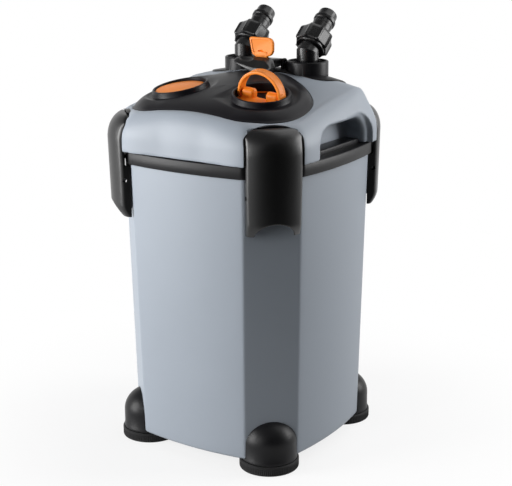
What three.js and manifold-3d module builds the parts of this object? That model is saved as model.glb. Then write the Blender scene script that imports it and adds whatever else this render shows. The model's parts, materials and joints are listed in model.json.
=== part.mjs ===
// Canister filter for an aquarium or a pond: a square tub on four feet, a motor head held
// down by four toggle latches, and a hose tap block on top. Millimetres, +Z up, front = -Y.
// The origin is at the middle of the footprint, on the floor.
import * as THREE from 'three';
import { mergeVertices } from 'three/addons/utils/BufferGeometryUtils.js';
import Module from 'manifold-3d';

const wasm = await Module();
wasm.setup();

// ---------------------------------------------------------------- driving sizes
// Tub: a tapered square with its four corners cut off and its sides bowed outwards
const tubTopHalf = 126;
const tubTaper = 6.9;
const tubTopCut = 48.1;
const tubCutTaper = 2.9;
const sideBow = 6.5;
const tubEdge = 2.5;
const tubBottom = 13.8;
const tubWall = 3.5;
const tubFloor = 4.2;
const tubChine = 3.6;
const rimHeight = 7;
// Head: a black base whose band grips the rim, and a grey cover
const bandBottom = 355;
const bandHeight = 14.6;
const bandProud = 3.7;
const bandEase = 1;
const basePlate = 4;
const skirtDepth = 20;
const skirtWall = 3;
const sealThickness = 2.8;
const sealInset = 0.2;
const coverProud = 1.5;
const coverCornerProud = 3.1;
const coverWall = 3.2;
const coverEdge = 6;
const crownRise = 72.8;
const crownTilt = 0.171;
const crownBend = 0.001227;
const rearDropShare = 0.39683;
const rearDropBend = 0.0093;
const shoulderRise = 14.4;
const frontShoulder = 17;
const sideShoulder = 24;
const rearShoulder = 30;
const cornerShoulder = 14;
// Handles: a recess in each side of the cover
const handleHalfWidth = 53.5;
const handleRise = 33.4;
const handleCornerRadius = 25;
const handleDepth = 31;
const handleStepHeight = 10;
const handleStepBack = 11;
// Black top panel; the outline is half of it, in shares of the tub's half width
const panelOutlineShares = [
  [0, -0.91429], [0.26984, -0.9254], [0.51587, -0.92857], [0.65873, -0.85714], [0.78571, -0.74603],
  [0.86508, -0.60317], [0.88889, -0.42063], [0.85714, -0.22222], [0.80159, -0.09524], [0.69048, 0.03175],
  [0.53968, 0.15079], [0.30952, 0.27778], [0.09524, 0.33333],
];
const panelThickness = 3;
const panelProud = 0.9;
const panelRaise = 5.5;
const panelRaiseReach = 20;
const panelLedge = 7;
// Controls
const controlShareX = 0.45635;
const controlShareY = -0.43333;
const controlRise = 11.7;
const controlLeanForward = 9.7;
const controlLeanOut = 6.3;
const collarRadius = 34;
const collarWall = 3;
const wellDepth = 24;
const discGap = 0.5;
const buttonThickness = 5;
const buttonCrown = 2.2;
const buttonSink = 1.6;
const buttonStemRadius = 11;
const barrelDepth = 46;
const barrelWall = 2.4;
const springWire = 1.6;
const springRadius = 16;
const springTurns = 5;
const capSink = 9.6;
const capThickness = 6;
const capPlugRadius = 24;
const capPlugDepth = 7.6;
const bailRadius = 29;
const bailWidth = 13;
const bailThickness = 3.6;
const bailHingeHeight = -2.7;
const bailLugWidth = 10;
const bailLugRadius = 5.5;
const bailPivotRadius = 1.8;
const bailPivotReach = 4;
// Tap block, elbows, nuts and hose tails; the shares are of the tub's half width
const tapSpacing = 0.6;
const tapShareY = 0.54127;
const tapFlangeShareX = 0.72619;
const tapFlangeShareRear = 0.81746;
const tapFlangeGap = 1.5;
const tapFlangeCorner = 26;
const tapFlangeThickness = 2.6;
const tapFlangeProud = 1.2;
const tapCollarRadius = 25.7;
const tapCollarWall = 3.2;
const tapCollarRise = 14.25;
const tapWellDepth = 7.7;
const tapPipeWall = 5;
const elbowRadius = 13.4;
const elbowBore = 9.6;
const elbowRise = 9.7;
const elbowLean = 50;
const elbowArm = 24;
const elbowSink = 12;
const nutRadius = 20.5;
const nutBore = 14.2;
const nutLength = 26.5;
const nutStart = 6.5;
const nutSides = 8;
const tailRadius = 12.2;
const tailRidge = 13.75;
const tailTip = 11.45;
const tailBore = 9;
const tailEnd = 66;
const tailRidgeBack = 16;
// Release lever and lock tab between the hose taps
const axleShareY = 0.47619;
const axleRise = 7.78;
const axleRadius = 2;
const leverArmHalf = 15;
const leverArmRadius = 4.5;
const bracketWidth = 3.5;
const bracketRadius = 5;
const paddleLeft = 29;
const paddleRight = 20;
const paddleSkew = 12;
const paddleReach = 46;
const paddleLength = 26;
const paddleRise = 9;
const paddleDepth = 18;
const tabWidth = 34.5;
const tabHeight = 20;
const tabThickness = 4;
const tabReach = 24;
const tabRise = 11.5;
const tabPivotRise = 4;
const tabPivotRadius = 1.9;
const tabPivotReach = 3;
// Toggle latches: reaches are from the tub's cut corner outwards, heights from the band's lower edge
const leverReach = 23.1;
const leverCrownReach = 2;
const leverKneeReach = 21.2;
const leverTipReach = 14.5;
const leverPinReach = 7.8;
const anchorReach = 11.5;
const hookReach = 0;
const leverTopRise = 56.5;
const leverCrownRise = 27;
const leverKneeDrop = 49;
const leverTipDrop = 65;
const leverPinDrop = 19.9;
const anchorDrop = 48;
const hookRise = 49.5;
const leverHalf = 32.1;
const leverTipHalf = 31.2;
const leverBow = 11;
const leverEdge = 1.2;
const leverWall = 2.6;
const leverGap = 0.5;
const leverBandGap = 3.4;
const leverCoverGap = 1.5;
const leverArchRadius = 16.2;
const leverArchSpread = 1.39;
const leverPinRadius = 2.4;
const leverPinInset = 2.5;
const anchorPinRadius = 1.8;
const lugRadius = 3.2;
const lugHalfGap = 17;
const lugWidth = 3.2;
const linkThickness = 4;
const linkEyeRadius = 4.4;
const linkFrame = 7;
const hookHalf = 27;
const hookDepth = 16;
const hookBow = 5;
const hookGap = 0.8;
// Feet
const footInset = 11.8;
const footRadius = 33.3;
const footFlare = 0.6;
const footDomeBase = 33;
const footDomeHeight = 29;
const padRadius = 35.7;
const padHeight = 11.7;
const padLedge = 2;
const padEase = 1.2;
// Motor and pump
const motorX = 0;
const motorY = 6;
const motorRadius = 37;
const motorHeight = 52;
const motorChamfer = 6;
const rotorRadius = 11;
const rotorLength = 34;
const rotorClearance = 1;
const bladeRadius = 24;
const bladeHeight = 8;
const bladeWidth = 2;
const bladeCount = 6;
const shaftRadius = 2;
const voluteRadius = 33;
const voluteWall = 3;
const voluteDepth = 16;
const voluteCoverThickness = 3;
const voluteInlet = 12;
// Media baskets
const basketCount = 3;
const basketHeight = 94;
const basketPitch = 99;
const basketFloorRise = 8.2;
const basketWall = 2.4;
const basketGap = 4;
const basketTaper = 2;
const basketSlotWidth = 5;
const basketSlots = 5;
const basketSlotMargin = 27;
const basketRib = 4;
const mediaHeight = 70;
const mediaGap = 3;
const intakeRadius = 13.5;
const intakeWall = 2.2;
// Cable inlet
const glandRadius = 7.1;
const glandNeck = 4.1;
const glandBore = 2.6;
const glandLength = 6;
const glandRise = 8.4;
// Fits
const touchGap = 0.3;
const runningGap = 0.5;
// A length that reaches right through whatever is cut
const through = 400;

// ---------------------------------------------------------------- derived sizes
const tubBottomHalf = tubTopHalf - tubTaper;
const tubBottomCut = tubTopCut - tubCutTaper;
const bandTop = bandBottom + bandHeight;
const rimTop = bandBottom + rimHeight;
const plateBottom = bandTop - basePlate;
const coverBottom = bandTop + touchGap;
const crownHeight = bandTop + crownRise;
const shoulderStart = bandTop + shoulderRise;
const rearDropStart = rearDropShare * tubTopHalf;
const handleTop = bandTop + handleRise;
const cornerAngles = [45, 135, 225, 315];
const cornerNames = ['right_rear', 'left_rear', 'left_front', 'right_front'];
const panelTopOffset = panelProud;
const panelBottomOffset = panelProud - panelThickness;
const controlX = controlShareX * tubTopHalf;
const controlY = controlShareY * tubTopHalf;
const controlZ = crown(controlX, controlY) + controlRise;
const controlBore = collarRadius - collarWall;
const buttonRadius = controlBore - discGap;
const capRadius = controlBore - discGap;
const tapX = leverArmHalf + runningGap + bracketWidth + tapCollarRadius + tapSpacing;
const tapY = tapShareY * tubTopHalf;
const tapFlangeHalf = tapFlangeShareX * tubTopHalf;
const tapFlangeFront = panelOutlineShares.at(-1)[1] * tubTopHalf + tapFlangeGap;
const tapFlangeRear = tapFlangeShareRear * tubTopHalf;
const tapCollarTop = crown(tapX, tapY) + tapCollarRise;
const tapCollarFloor = tapCollarTop - tapWellDepth;
const elbowBend = tapCollarTop + elbowRise;
const axleY = axleShareY * tubTopHalf;
const axleZ = crown(0, axleY) + axleRise;
const paddleFront = axleY - paddleReach;
const paddleBack = paddleFront + paddleLength;
const paddleTop = axleZ + paddleRise;
const tabY = axleY - tabReach;
const tabBottom = axleZ + tabRise;
const tabPivotZ = axleZ + tabPivotRise;
const rimCorner = cornerDistance(bandBottom);
const leverOut = rimCorner + leverReach;
const leverCrownOut = rimCorner + leverCrownReach;
const leverKneeOut = rimCorner + leverKneeReach;
const leverTipOut = rimCorner + leverTipReach;
const leverPinOut = rimCorner + leverPinReach;
const hookSeatOut = rimCorner + hookReach;
const leverTop = bandBottom + leverTopRise;
const leverCrownStart = bandBottom + leverCrownRise;
const leverKneeZ = bandBottom - leverKneeDrop;
const leverTip = bandBottom - leverTipDrop;
const leverPinZ = bandBottom - leverPinDrop;
const anchorZ = bandBottom - anchorDrop;
const anchorOut = cornerDistance(anchorZ) + anchorReach;
const hookFloor = bandBottom + hookRise;
const footOut = cornerDistance(footDomeBase) - footInset;
const basketFloorZ = tubBottom + basketFloorRise;
const glandZ = bandTop + glandRise;

// ---------------------------------------------------------------- solids
/** A closed BufferGeometry as a solid; its faces are turned outwards where they need it. */
function solid(geometry) {
  const bare = geometry.clone();
  for (const name of Object.keys(bare.attributes)) {
    if (name !== 'position') bare.deleteAttribute(name);
  }
  const merged = mergeVertices(bare, 1e-4);
  const position = merged.getAttribute('position');
  const index = merged.getIndex().array;
  const triangles = [];
  let volume = 0;
  const a = new THREE.Vector3();
  const b = new THREE.Vector3();
  const c = new THREE.Vector3();
  for (let i = 0; i < index.length; i += 3) {
    const [p, q, r] = [index[i], index[i + 1], index[i + 2]];
    if (p === q || q === r || r === p) continue;
    triangles.push(p, q, r);
    a.fromBufferAttribute(position, p);
    b.fromBufferAttribute(position, q);
    c.fromBufferAttribute(position, r);
    volume += a.dot(b.cross(c));
  }
  if (volume < 0) triangles.reverse();
  const mesh = new wasm.Mesh({
    numProp: 3,
    vertProperties: new Float32Array(position.array),
    triVerts: new Uint32Array(triangles),
  });
  return new wasm.Manifold(mesh);
}

function join(first, ...others) {
  return others.reduce((sum, next) => sum.add(next), first);
}

function cut(first, ...others) {
  return others.reduce((rest, next) => rest.subtract(next), first);
}

/** A solid back as flat-shaded geometry. */
function toGeometry(body) {
  const mesh = body.getMesh();
  const stride = mesh.numProp;
  const count = mesh.vertProperties.length / stride;
  const positions = new Float32Array(count * 3);
  for (let i = 0; i < count; i += 1) {
    for (let k = 0; k < 3; k += 1) positions[3 * i + k] = mesh.vertProperties[i * stride + k];
  }
  const indexed = new THREE.BufferGeometry();
  indexed.setAttribute('position', new THREE.BufferAttribute(positions, 3));
  indexed.setIndex(new THREE.BufferAttribute(new Uint32Array(mesh.triVerts), 1));
  const flat = indexed.toNonIndexed();
  flat.computeVertexNormals();
  return flat;
}

/** Triangles that fill a flat outline, wound anticlockwise. */
function fillOutline(points) {
  const faces = THREE.ShapeUtils.triangulateShape(points, []);
  const wanted = Math.sign(THREE.ShapeUtils.area(points));
  return faces.map(([i, j, k]) => {
    const turn = (points[j].x - points[i].x) * (points[k].y - points[i].y)
      - (points[j].y - points[i].y) * (points[k].x - points[i].x);
    return turn * wanted >= 0 ? [i, j, k] : [i, k, j];
  });
}

/** A closed skin through rings of equal length, listed bottom to top. */
function loft(rings) {
  const count = rings[0].length;
  const positions = rings.flat().flatMap((p) => [p.x, p.y, p.z]);
  const index = [];
  for (let level = 0; level + 1 < rings.length; level += 1) {
    for (let i = 0; i < count; i += 1) {
      const j = (i + 1) % count;
      const low = level * count;
      const high = low + count;
      index.push(low + i, low + j, high + j, low + i, high + j, high + i);
    }
  }
  const last = (rings.length - 1) * count;
  for (const [i, j, k] of fillOutline(rings[0].map((p) => new THREE.Vector2(p.x, p.y)))) {
    index.push(k, j, i);
  }
  for (const [i, j, k] of fillOutline(rings.at(-1).map((p) => new THREE.Vector2(p.x, p.y)))) {
    index.push(last + i, last + j, last + k);
  }
  const geometry = new THREE.BufferGeometry();
  geometry.setAttribute('position', new THREE.Float32BufferAttribute(positions, 3));
  geometry.setIndex(index);
  return geometry;
}

function cylinder(radius, bottom, top, sides = 32, topRadius = radius) {
  const geometry = new THREE.CylinderGeometry(topRadius, radius, top - bottom, sides);
  geometry.rotateX(Math.PI / 2);
  geometry.translate(0, 0, (bottom + top) / 2);
  return geometry;
}

/** A revolved solid; the profile holds [radius, height] pairs and closes on the axis or on itself. */
function revolve(profile, sides = 32) {
  const points = profile.map(([r, z]) => new THREE.Vector2(r, z));
  if (points[0].x > 0) points.push(points[0].clone());
  const geometry = new THREE.LatheGeometry(points, sides);
  geometry.rotateX(Math.PI / 2);
  return geometry;
}

function box(x0, x1, y0, y1, z0, z1) {
  const geometry = new THREE.BoxGeometry(x1 - x0, y1 - y0, z1 - z0);
  geometry.translate((x0 + x1) / 2, (y0 + y1) / 2, (z0 + z1) / 2);
  return geometry;
}

/** A flat outline in X and Y raised from one height to another. */
function prism(outline, bottom, top) {
  const shape = Array.isArray(outline) ? new THREE.Shape(outline) : outline;
  const depth = top - bottom;
  const geometry = new THREE.ExtrudeGeometry(shape, { depth, bevelEnabled: false, curveSegments: 4 });
  geometry.translate(0, 0, bottom);
  return geometry;
}

/** A side profile in Y and Z drawn through along X. */
function alongX(profile, left, right) {
  const geometry = prism(profile, left, right);
  const yAxis = new THREE.Vector3(0, 1, 0);
  const zAxis = new THREE.Vector3(0, 0, 1);
  geometry.applyMatrix4(new THREE.Matrix4().makeBasis(yAxis, zAxis, new THREE.Vector3(1, 0, 0)));
  return geometry;
}

/** A side profile in X and Z drawn through along Y. */
function alongY(profile, near, far) {
  const geometry = prism(profile, -far, -near);
  geometry.rotateX(Math.PI / 2);
  return geometry;
}

function v2(x, y) {
  return new THREE.Vector2(x, y);
}

function v3(x, y, z) {
  return new THREE.Vector3(x, y, z);
}

function radians(degrees) {
  return THREE.MathUtils.degToRad(degrees);
}

function roundedRectangle(x0, x1, y0, y1, radius) {
  const shape = new THREE.Shape();
  shape.moveTo(x0 + radius, y0);
  shape.lineTo(x1 - radius, y0);
  shape.absarc(x1 - radius, y0 + radius, radius, -Math.PI / 2, 0, false);
  shape.absarc(x1 - radius, y1 - radius, radius, 0, Math.PI / 2, false);
  shape.absarc(x0 + radius, y1 - radius, radius, Math.PI / 2, Math.PI, false);
  shape.absarc(x0 + radius, y0 + radius, radius, Math.PI, 1.5 * Math.PI, false);
  return shape;
}

// ---------------------------------------------------------------- the square outline
/** One side of the outline, facing +X, from its front cut corner to its rear one. */
function outlineSide(half, cornerCut, radius, steps) {
  const reach = half - cornerCut;
  const flat = reach - radius;
  const bowed = (y) => half + sideBow * (1 - (y / reach) ** 2);
  const face = [];
  for (let i = 0; i <= steps; i += 1) {
    const y = flat * (-1 + 2 * i / steps);
    face.push(v2(bowed(y), y));
  }
  const corner = v2(half, reach);
  const chamfer = v2(half - radius * Math.SQRT1_2, reach + radius * Math.SQRT1_2);
  const rounded = face.at(-1).clone().multiplyScalar(0.25)
    .addScaledVector(corner, 0.5).addScaledVector(chamfer, 0.25);
  const flip = (p) => v2(p.x, -p.y);
  return [flip(chamfer), flip(rounded), ...face, rounded, chamfer];
}

function squareOutline(half, cornerCut, radius, steps) {
  const side = outlineSide(half, cornerCut, radius, steps);
  const turnedBy = (angle) => side.map((p) => p.clone().rotateAround(v2(0, 0), angle));
  return [0, 0.5, 1, 1.5].flatMap((turn) => turnedBy(turn * Math.PI));
}

/** The tub's outline at a height, drawn in by an inset. */
function tubOutline(z, inset = 0, steps = 4) {
  const t = Math.min(1, (z - tubBottom) / (bandBottom - tubBottom));
  const half = THREE.MathUtils.lerp(tubBottomHalf, tubTopHalf, t) - inset;
  const cornerCut = THREE.MathUtils.lerp(tubBottomCut, tubTopCut, t) - (2 - Math.SQRT2) * inset;
  return squareOutline(half, cornerCut, tubEdge, steps);
}

function tubRing(z, inset = 0, steps = 4) {
  return tubOutline(z, inset, steps).map((p) => v3(p.x, p.y, z));
}

/** Distance of the tub's cut corner from the axis at a height. */
function cornerDistance(z) {
  const t = Math.min(1, (z - tubBottom) / (bandBottom - tubBottom));
  const half = THREE.MathUtils.lerp(tubBottomHalf, tubTopHalf, t);
  const cornerCut = THREE.MathUtils.lerp(tubBottomCut, tubTopCut, t);
  return (2 * half - cornerCut) * Math.SQRT1_2;
}

function turned(geometry, degrees) {
  return geometry.clone().rotateZ(radians(degrees));
}

// ---------------------------------------------------------------- canister
/** The tub's rounded lower edge, drawn in by an inset. */
function chineRings(inset) {
  return [0, 1 / 3, 1].map((share) => {
    const drawnIn = tubChine * 0.9 * (1 - Math.sqrt(share)) ** 1.4;
    return tubRing(tubBottom + tubChine * share, inset + drawnIn);
  });
}

function latchLugs() {
  const tubOut = cornerDistance(anchorZ) - tubWall / 2;
  const shape = new THREE.Shape();
  shape.moveTo(tubOut, anchorZ - 2.2 * lugRadius);
  shape.lineTo(anchorOut, anchorZ - lugRadius);
  shape.absarc(anchorOut, anchorZ, lugRadius, -Math.PI / 2, Math.PI / 2, false);
  shape.lineTo(tubOut, anchorZ + 2 * lugRadius);
  const bore = new THREE.Path();
  bore.absarc(anchorOut, anchorZ, anchorPinRadius + touchGap, 0, 2 * Math.PI, true);
  shape.holes.push(bore);
  return [lugHalfGap, -lugHalfGap - lugWidth].map((near) => alongY(shape, near, near + lugWidth));
}

function makeCanister() {
  const outside = solid(loft([...chineRings(0), tubRing(bandBottom), tubRing(rimTop)]));
  const inside = solid(loft([
    tubRing(tubBottom + tubFloor, tubWall),
    tubRing(bandBottom, tubWall),
    tubRing(rimTop + basePlate, tubWall),
  ]));
  let tub = cut(outside, inside);
  for (const angle of cornerAngles) {
    for (const lug of latchLugs()) tub = tub.add(solid(turned(lug, angle)));
  }
  return tub;
}

// ---------------------------------------------------------------- feet
function makeFoot() {
  const dome = [];
  const arcSteps = 5;
  for (let i = 0; i < arcSteps; i += 1) {
    const angle = (i / arcSteps) * Math.PI / 2;
    dome.push([footRadius * Math.cos(angle), footDomeBase + footDomeHeight * Math.sin(angle)]);
  }
  dome.push([0, footDomeBase + footDomeHeight]);
  const bottom = padHeight + touchGap;
  const column = revolve([[0, bottom], [footRadius + footFlare, bottom], ...dome], 24).translate(footOut, 0, 0);
  const room = loft([...chineRings(-touchGap), tubRing(bandBottom, -touchGap)]).translate(0, 0, -touchGap);
  return cut(solid(column), solid(turned(room, 45)));
}

function makeFootPad() {
  return solid(revolve([
    [0, 0],
    [padRadius - padEase, 0],
    [padRadius, padEase],
    [padRadius, padHeight - padLedge],
    [padRadius - padEase, padHeight],
    [0, padHeight],
  ], 24).translate(footOut, 0, 0));
}

// ---------------------------------------------------------------- head base
function voluteCentre(geometry) {
  return geometry.translate(motorX, motorY, 0);
}

function makeHeadBase() {
  const band = loft([
    tubRing(bandBottom, bandEase - bandProud),
    tubRing(bandBottom + bandEase, -bandProud),
    tubRing(bandTop - bandEase, -bandProud),
    tubRing(bandTop, bandEase - bandProud),
  ]);
  const bandBore = loft([tubRing(bandBottom - basePlate, -touchGap), tubRing(plateBottom, -touchGap)]);
  const skirtOut = tubWall + runningGap;
  const skirtBottom = plateBottom - skirtDepth;
  const skirt = loft([tubRing(skirtBottom, skirtOut), tubRing(bandTop - bandEase, skirtOut)]);
  const skirtBore = loft([
    tubRing(skirtBottom - basePlate, skirtOut + skirtWall),
    tubRing(plateBottom, skirtOut + skirtWall),
  ]);
  let base = cut(solid(band), solid(bandBore));
  base = join(base, cut(solid(skirt), solid(skirtBore)));
  const volute = cylinder(voluteRadius + voluteWall, plateBottom - voluteDepth, plateBottom + 1, 24);
  const voluteRoom = cylinder(voluteRadius, plateBottom - voluteDepth - 1, plateBottom, 24);
  base = base.add(solid(voluteCentre(volute))).subtract(solid(voluteCentre(voluteRoom)));
  const rotorHole = cylinder(rotorRadius + 2 * rotorClearance, plateBottom - 1, bandTop + 1, 20);
  base = base.subtract(solid(voluteCentre(rotorHole)));
  for (const side of [-1, 1]) {
    const pipeHole = cylinder(elbowRadius, plateBottom - 1, bandTop + 1, 20);
    base = base.subtract(solid(pipeHole.translate(side * tapX, tapY, 0)));
    base = base.add(solid(handleStep(side)));
  }
  return base;
}

/** The raised step at the back of a handle recess. */
function handleStep(side) {
  const outerX = tubTopHalf + sideBow - handleStepBack;
  const innerX = tubTopHalf + sideBow - handleDepth + touchGap;
  const halfWidth = handleHalfWidth - 2 * touchGap;
  const [x0, x1] = side > 0 ? [innerX, outerX] : [-outerX, -innerX];
  return box(x0, x1, -halfWidth, halfWidth, bandTop - 1, bandTop + handleStepHeight);
}

function makeSealRing() {
  const bottom = rimTop + touchGap;
  const ring = loft([
    tubRing(bottom, 2 * sealInset),
    tubRing(bottom + sealThickness / 2, sealInset),
    tubRing(bottom + sealThickness, 2 * sealInset),
  ]);
  const hole = loft([tubRing(bottom - 1, tubWall), tubRing(bottom + sealThickness + 1, tubWall)]);
  return cut(solid(ring), solid(hole));
}

// ---------------------------------------------------------------- head cover
function crown(x, y) {
  const rear = Math.max(0, y - rearDropStart);
  return crownHeight + crownTilt * y - crownBend * x * x - rearDropBend * rear * rear;
}

/** How far the cover's shoulder draws in at a point of its outline. */
function shoulderDepth(point) {
  const angle = Math.atan2(point.y, point.x);
  const facing = 1 - Math.abs(Math.sin(2 * angle)) ** 3;
  let depth = sideShoulder;
  if (Math.abs(point.y) > Math.abs(point.x)) depth = point.y > 0 ? rearShoulder : frontShoulder;
  return THREE.MathUtils.lerp(cornerShoulder, depth, facing);
}

/** Rings of the cover's skin, from its bottom edge over the shoulder to the middle of the crown. */
function coverRings({ inset, cornerInset, drop, bottom, steps, arcSteps }) {
  const half = tubTopHalf - inset;
  const reach = cornerDistance(bandBottom) - cornerInset;
  const outline = squareOutline(half, 2 * half - Math.SQRT2 * reach, coverEdge, steps);
  const rings = [outline.map((p) => v3(p.x, p.y, bottom))];
  const shrink = (p, by) => p.clone().multiplyScalar(1 - by / p.length());
  for (let i = 0; i <= arcSteps; i += 1) {
    const angle = (i / arcSteps) * Math.PI / 2;
    rings.push(outline.map((p) => {
      const depth = shoulderDepth(p);
      const edge = shrink(p, depth);
      const top = crown(edge.x, edge.y) - drop;
      const q = shrink(p, depth * (1 - Math.cos(angle)));
      return v3(q.x, q.y, shoulderStart + (top - shoulderStart) * Math.sin(angle));
    }));
  }
  for (const scale of [0.72, 0.38]) {
    rings.push(rings[arcSteps + 1].map((p) => {
      const q = v2(p.x * scale, p.y * scale);
      return v3(q.x, q.y, crown(q.x, q.y) - drop);
    }));
  }
  return rings;
}

/** A solid slab that follows the crown between two heights above it. */
function crownSlab(low, high, across = 4, along = 6) {
  const width = 2 * tubTopHalf - coverWall;
  const geometry = new THREE.BoxGeometry(width, width, 1, across, along, 1);
  const position = geometry.getAttribute('position');
  for (let i = 0; i < position.count; i += 1) {
    const [x, y, z] = [position.getX(i), position.getY(i), position.getZ(i)];
    position.setZ(i, crown(x, y) + (z > 0 ? high : low));
  }
  return solid(geometry);
}

/** A flat outline drawn through the crown between two heights above it. */
function crownPiece(outline, low, high, across = 4, along = 10) {
  const column = solid(prism(outline, crownHeight - through, crownHeight + through));
  return column.intersect(crownSlab(low, high, across, along));
}

/** A flat outline drawn right through the top of the cover. */
function crownHole(outline) {
  return solid(prism(outline, coverBottom, crownHeight + through));
}

function handleOpening(side, grow = 0) {
  const outline = new THREE.Shape();
  const half = handleHalfWidth + grow;
  const top = handleTop + grow;
  const radius = handleCornerRadius + grow;
  outline.moveTo(-half, bandTop - basePlate);
  outline.lineTo(half, bandTop - basePlate);
  outline.absarc(half - radius, top - radius, radius, 0, Math.PI / 2, false);
  outline.absarc(-half + radius, top - radius, radius, Math.PI / 2, Math.PI, false);
  const inner = tubTopHalf + sideBow - handleDepth - grow;
  const outer = tubTopHalf + sideBow + handleDepth;
  return side > 0 ? alongX(outline, inner, outer) : alongX(outline, -outer, -inner);
}

/** The block under each latch hook, in the corner's own frame. */
function hookBlock() {
  const out = rimCorner + coverCornerProud;
  return box(out - hookDepth, out, -hookHalf, hookHalf, coverBottom, hookFloor);
}

function hookPocket() {
  const half = hookHalf + 3 * runningGap;
  const shape = new THREE.Shape();
  shape.moveTo(hookSeatOut, -half);
  shape.lineTo(rimCorner + leverReach, -half);
  shape.lineTo(rimCorner + leverReach, half);
  shape.lineTo(hookSeatOut, half);
  shape.quadraticCurveTo(hookSeatOut - hookBow, 0, hookSeatOut, -half);
  return prism(shape, hookFloor, hookFloor + leverTopRise);
}

function makeHeadCover() {
  const outer = solid(loft(coverRings({
    inset: -coverProud, cornerInset: -coverCornerProud, drop: 0, bottom: coverBottom, steps: 6, arcSteps: 5,
  })));
  const inner = solid(loft(coverRings({
    inset: coverWall - coverProud, cornerInset: coverWall - coverCornerProud, drop: coverWall,
    bottom: coverBottom - 1, steps: 2, arcSteps: 2,
  })));
  let cover = cut(outer, inner);
  const seat = panelBottomOffset - touchGap;
  const ledge = crownPiece(panelOutline(coverWall), seat - coverWall, seat, 4, 6);
  cover = cover.add(ledge.subtract(crownHole(panelOutline(-panelLedge))));
  const tapSeat = -tapFlangeThickness - touchGap;
  cover = cover.add(crownPiece(tapOutline(coverWall), tapSeat - coverWall, tapSeat));
  for (const side of [-1, 1]) {
    const pocketWall = solid(handleOpening(side, coverWall)).intersect(outer);
    cover = cover.add(pocketWall).subtract(solid(handleOpening(side)));
  }
  for (const angle of cornerAngles) {
    cover = cover.add(solid(turned(hookBlock(), angle))).subtract(solid(turned(hookPocket(), angle)));
  }
  cover = cut(
    cover,
    crownPiece(panelOutline(touchGap), seat, crownRise, 4, 6),
    crownHole(panelOutline(-panelLedge)),
    crownPiece(tapOutline(touchGap), tapSeat, crownRise),
  );
  for (const side of [-1, 1]) {
    const postRoom = cylinder(tapCollarRadius + touchGap, tapPostBottom() - touchGap, tapCollarTop, 28);
    const pipeRoom = cylinder(tapCollarRadius - tapPipeWall + 1, coverBottom + coverWall, tapCollarTop, 20);
    cover = cover.subtract(solid(postRoom.translate(side * tapX, tapY, 0)));
    cover = cover.subtract(solid(pipeRoom.translate(side * tapX, tapY, 0)));
  }
  const gland = cylinder(glandNeck, 0, tubTopHalf / 2, 20).rotateX(-Math.PI / 2);
  return cover.subtract(solid(gland.translate(0, 0.75 * tubTopHalf, glandZ)));
}

// ---------------------------------------------------------------- top panel
/** The panel's outline, drawn outwards by a length. */
function panelOutline(grow = 0) {
  const steps = 36;
  const mirrored = panelOutlineShares.slice(1).reverse().map(([x, y]) => [-x, y]);
  const points = [...panelOutlineShares, ...mirrored].map(([x, y]) => v3(x * tubTopHalf, y * tubTopHalf, 0));
  const curve = new THREE.CatmullRomCurve3(points, true, 'centripetal');
  return curve.getPoints(steps).slice(0, -1).map((p, i) => {
    const ahead = curve.getTangent(i / steps);
    return v2(p.x + ahead.y * grow, p.y - ahead.x * grow);
  });
}

/** The frame of a control: its middle at the collar's rim, its z axis along the collar. */
function controlFrame(side) {
  const normal = v3(side * Math.tan(radians(controlLeanOut)), -Math.tan(radians(controlLeanForward)), 1).normalize();
  const across = v3(1, 0, 0).addScaledVector(normal, -normal.x).normalize();
  const back = normal.clone().cross(across);
  const frame = new THREE.Matrix4().makeBasis(across, back, normal);
  return frame.setPosition(side * controlX, controlY, controlZ);
}

function placed(geometry, side) {
  return solid(geometry.applyMatrix4(controlFrame(side)));
}

/** The panel rises from its outline towards its middle, where the controls stand. */
function makeTopPanel() {
  const outline = panelOutline();
  const middle = v2(0, (panelOutlineShares[0][1] + panelOutlineShares.at(-1)[1]) * tubTopHalf / 2);
  const ring = (share, lift) => outline.map((p) => {
    const q = middle.clone().lerp(p, share);
    const rise = lift + (lift > 0 ? panelRaise * (1 - Math.exp(-p.distanceTo(q) / panelRaiseReach)) : 0);
    return v3(q.x, q.y, crown(q.x, q.y) + rise);
  });
  const shares = [0.02, 0.35, 0.62, 0.85];
  let panel = solid(loft([
    ...shares.map((share) => ring(share, panelBottomOffset)),
    ring(1, panelBottomOffset),
    ring(1, panelTopOffset),
    ...shares.reverse().map((share) => ring(share, panelTopOffset)),
  ]));
  for (const side of [-1, 1]) {
    const rim = revolve([
      [controlBore, -wellDepth],
      [collarRadius, -wellDepth],
      [collarRadius + 1, -wellDepth / 2],
      [collarRadius, -2],
      [collarRadius - 1, -touchGap],
      [controlBore + touchGap, 0],
      [controlBore, -touchGap],
    ], 28);
    const well = cylinder(collarRadius - touchGap, -barrelDepth, barrelDepth, 28);
    panel = panel.subtract(placed(well, side)).add(placed(rim, side));
  }
  return panel;
}

// ---------------------------------------------------------------- prime button
function makePrimeButton() {
  const top = -buttonSink;
  const stemEnd = -(barrelDepth + wellDepth) / 2 + barrelWall;
  const profile = [[0, stemEnd], [buttonStemRadius, stemEnd], [buttonStemRadius, top - buttonThickness]];
  profile.push([buttonRadius, top - buttonThickness], [buttonRadius, top - 1], [buttonRadius - 1, top]);
  for (const share of [0.7, 0.4]) {
    profile.push([buttonRadius * share, top + buttonCrown * (1 - share ** 2)]);
  }
  profile.push([0, top + buttonCrown]);
  return solid(revolve(profile, 28));
}

/** The middle line of the button's return spring. */
class SpringLine extends THREE.Curve {
  getPoint(t) {
    const top = -buttonSink - buttonThickness - touchGap - springWire;
    const bottom = -barrelDepth + barrelWall + touchGap + springWire;
    const angle = 2 * Math.PI * springTurns * t;
    return v3(springRadius * Math.cos(angle), springRadius * Math.sin(angle), bottom + (top - bottom) * t);
  }
}

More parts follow.
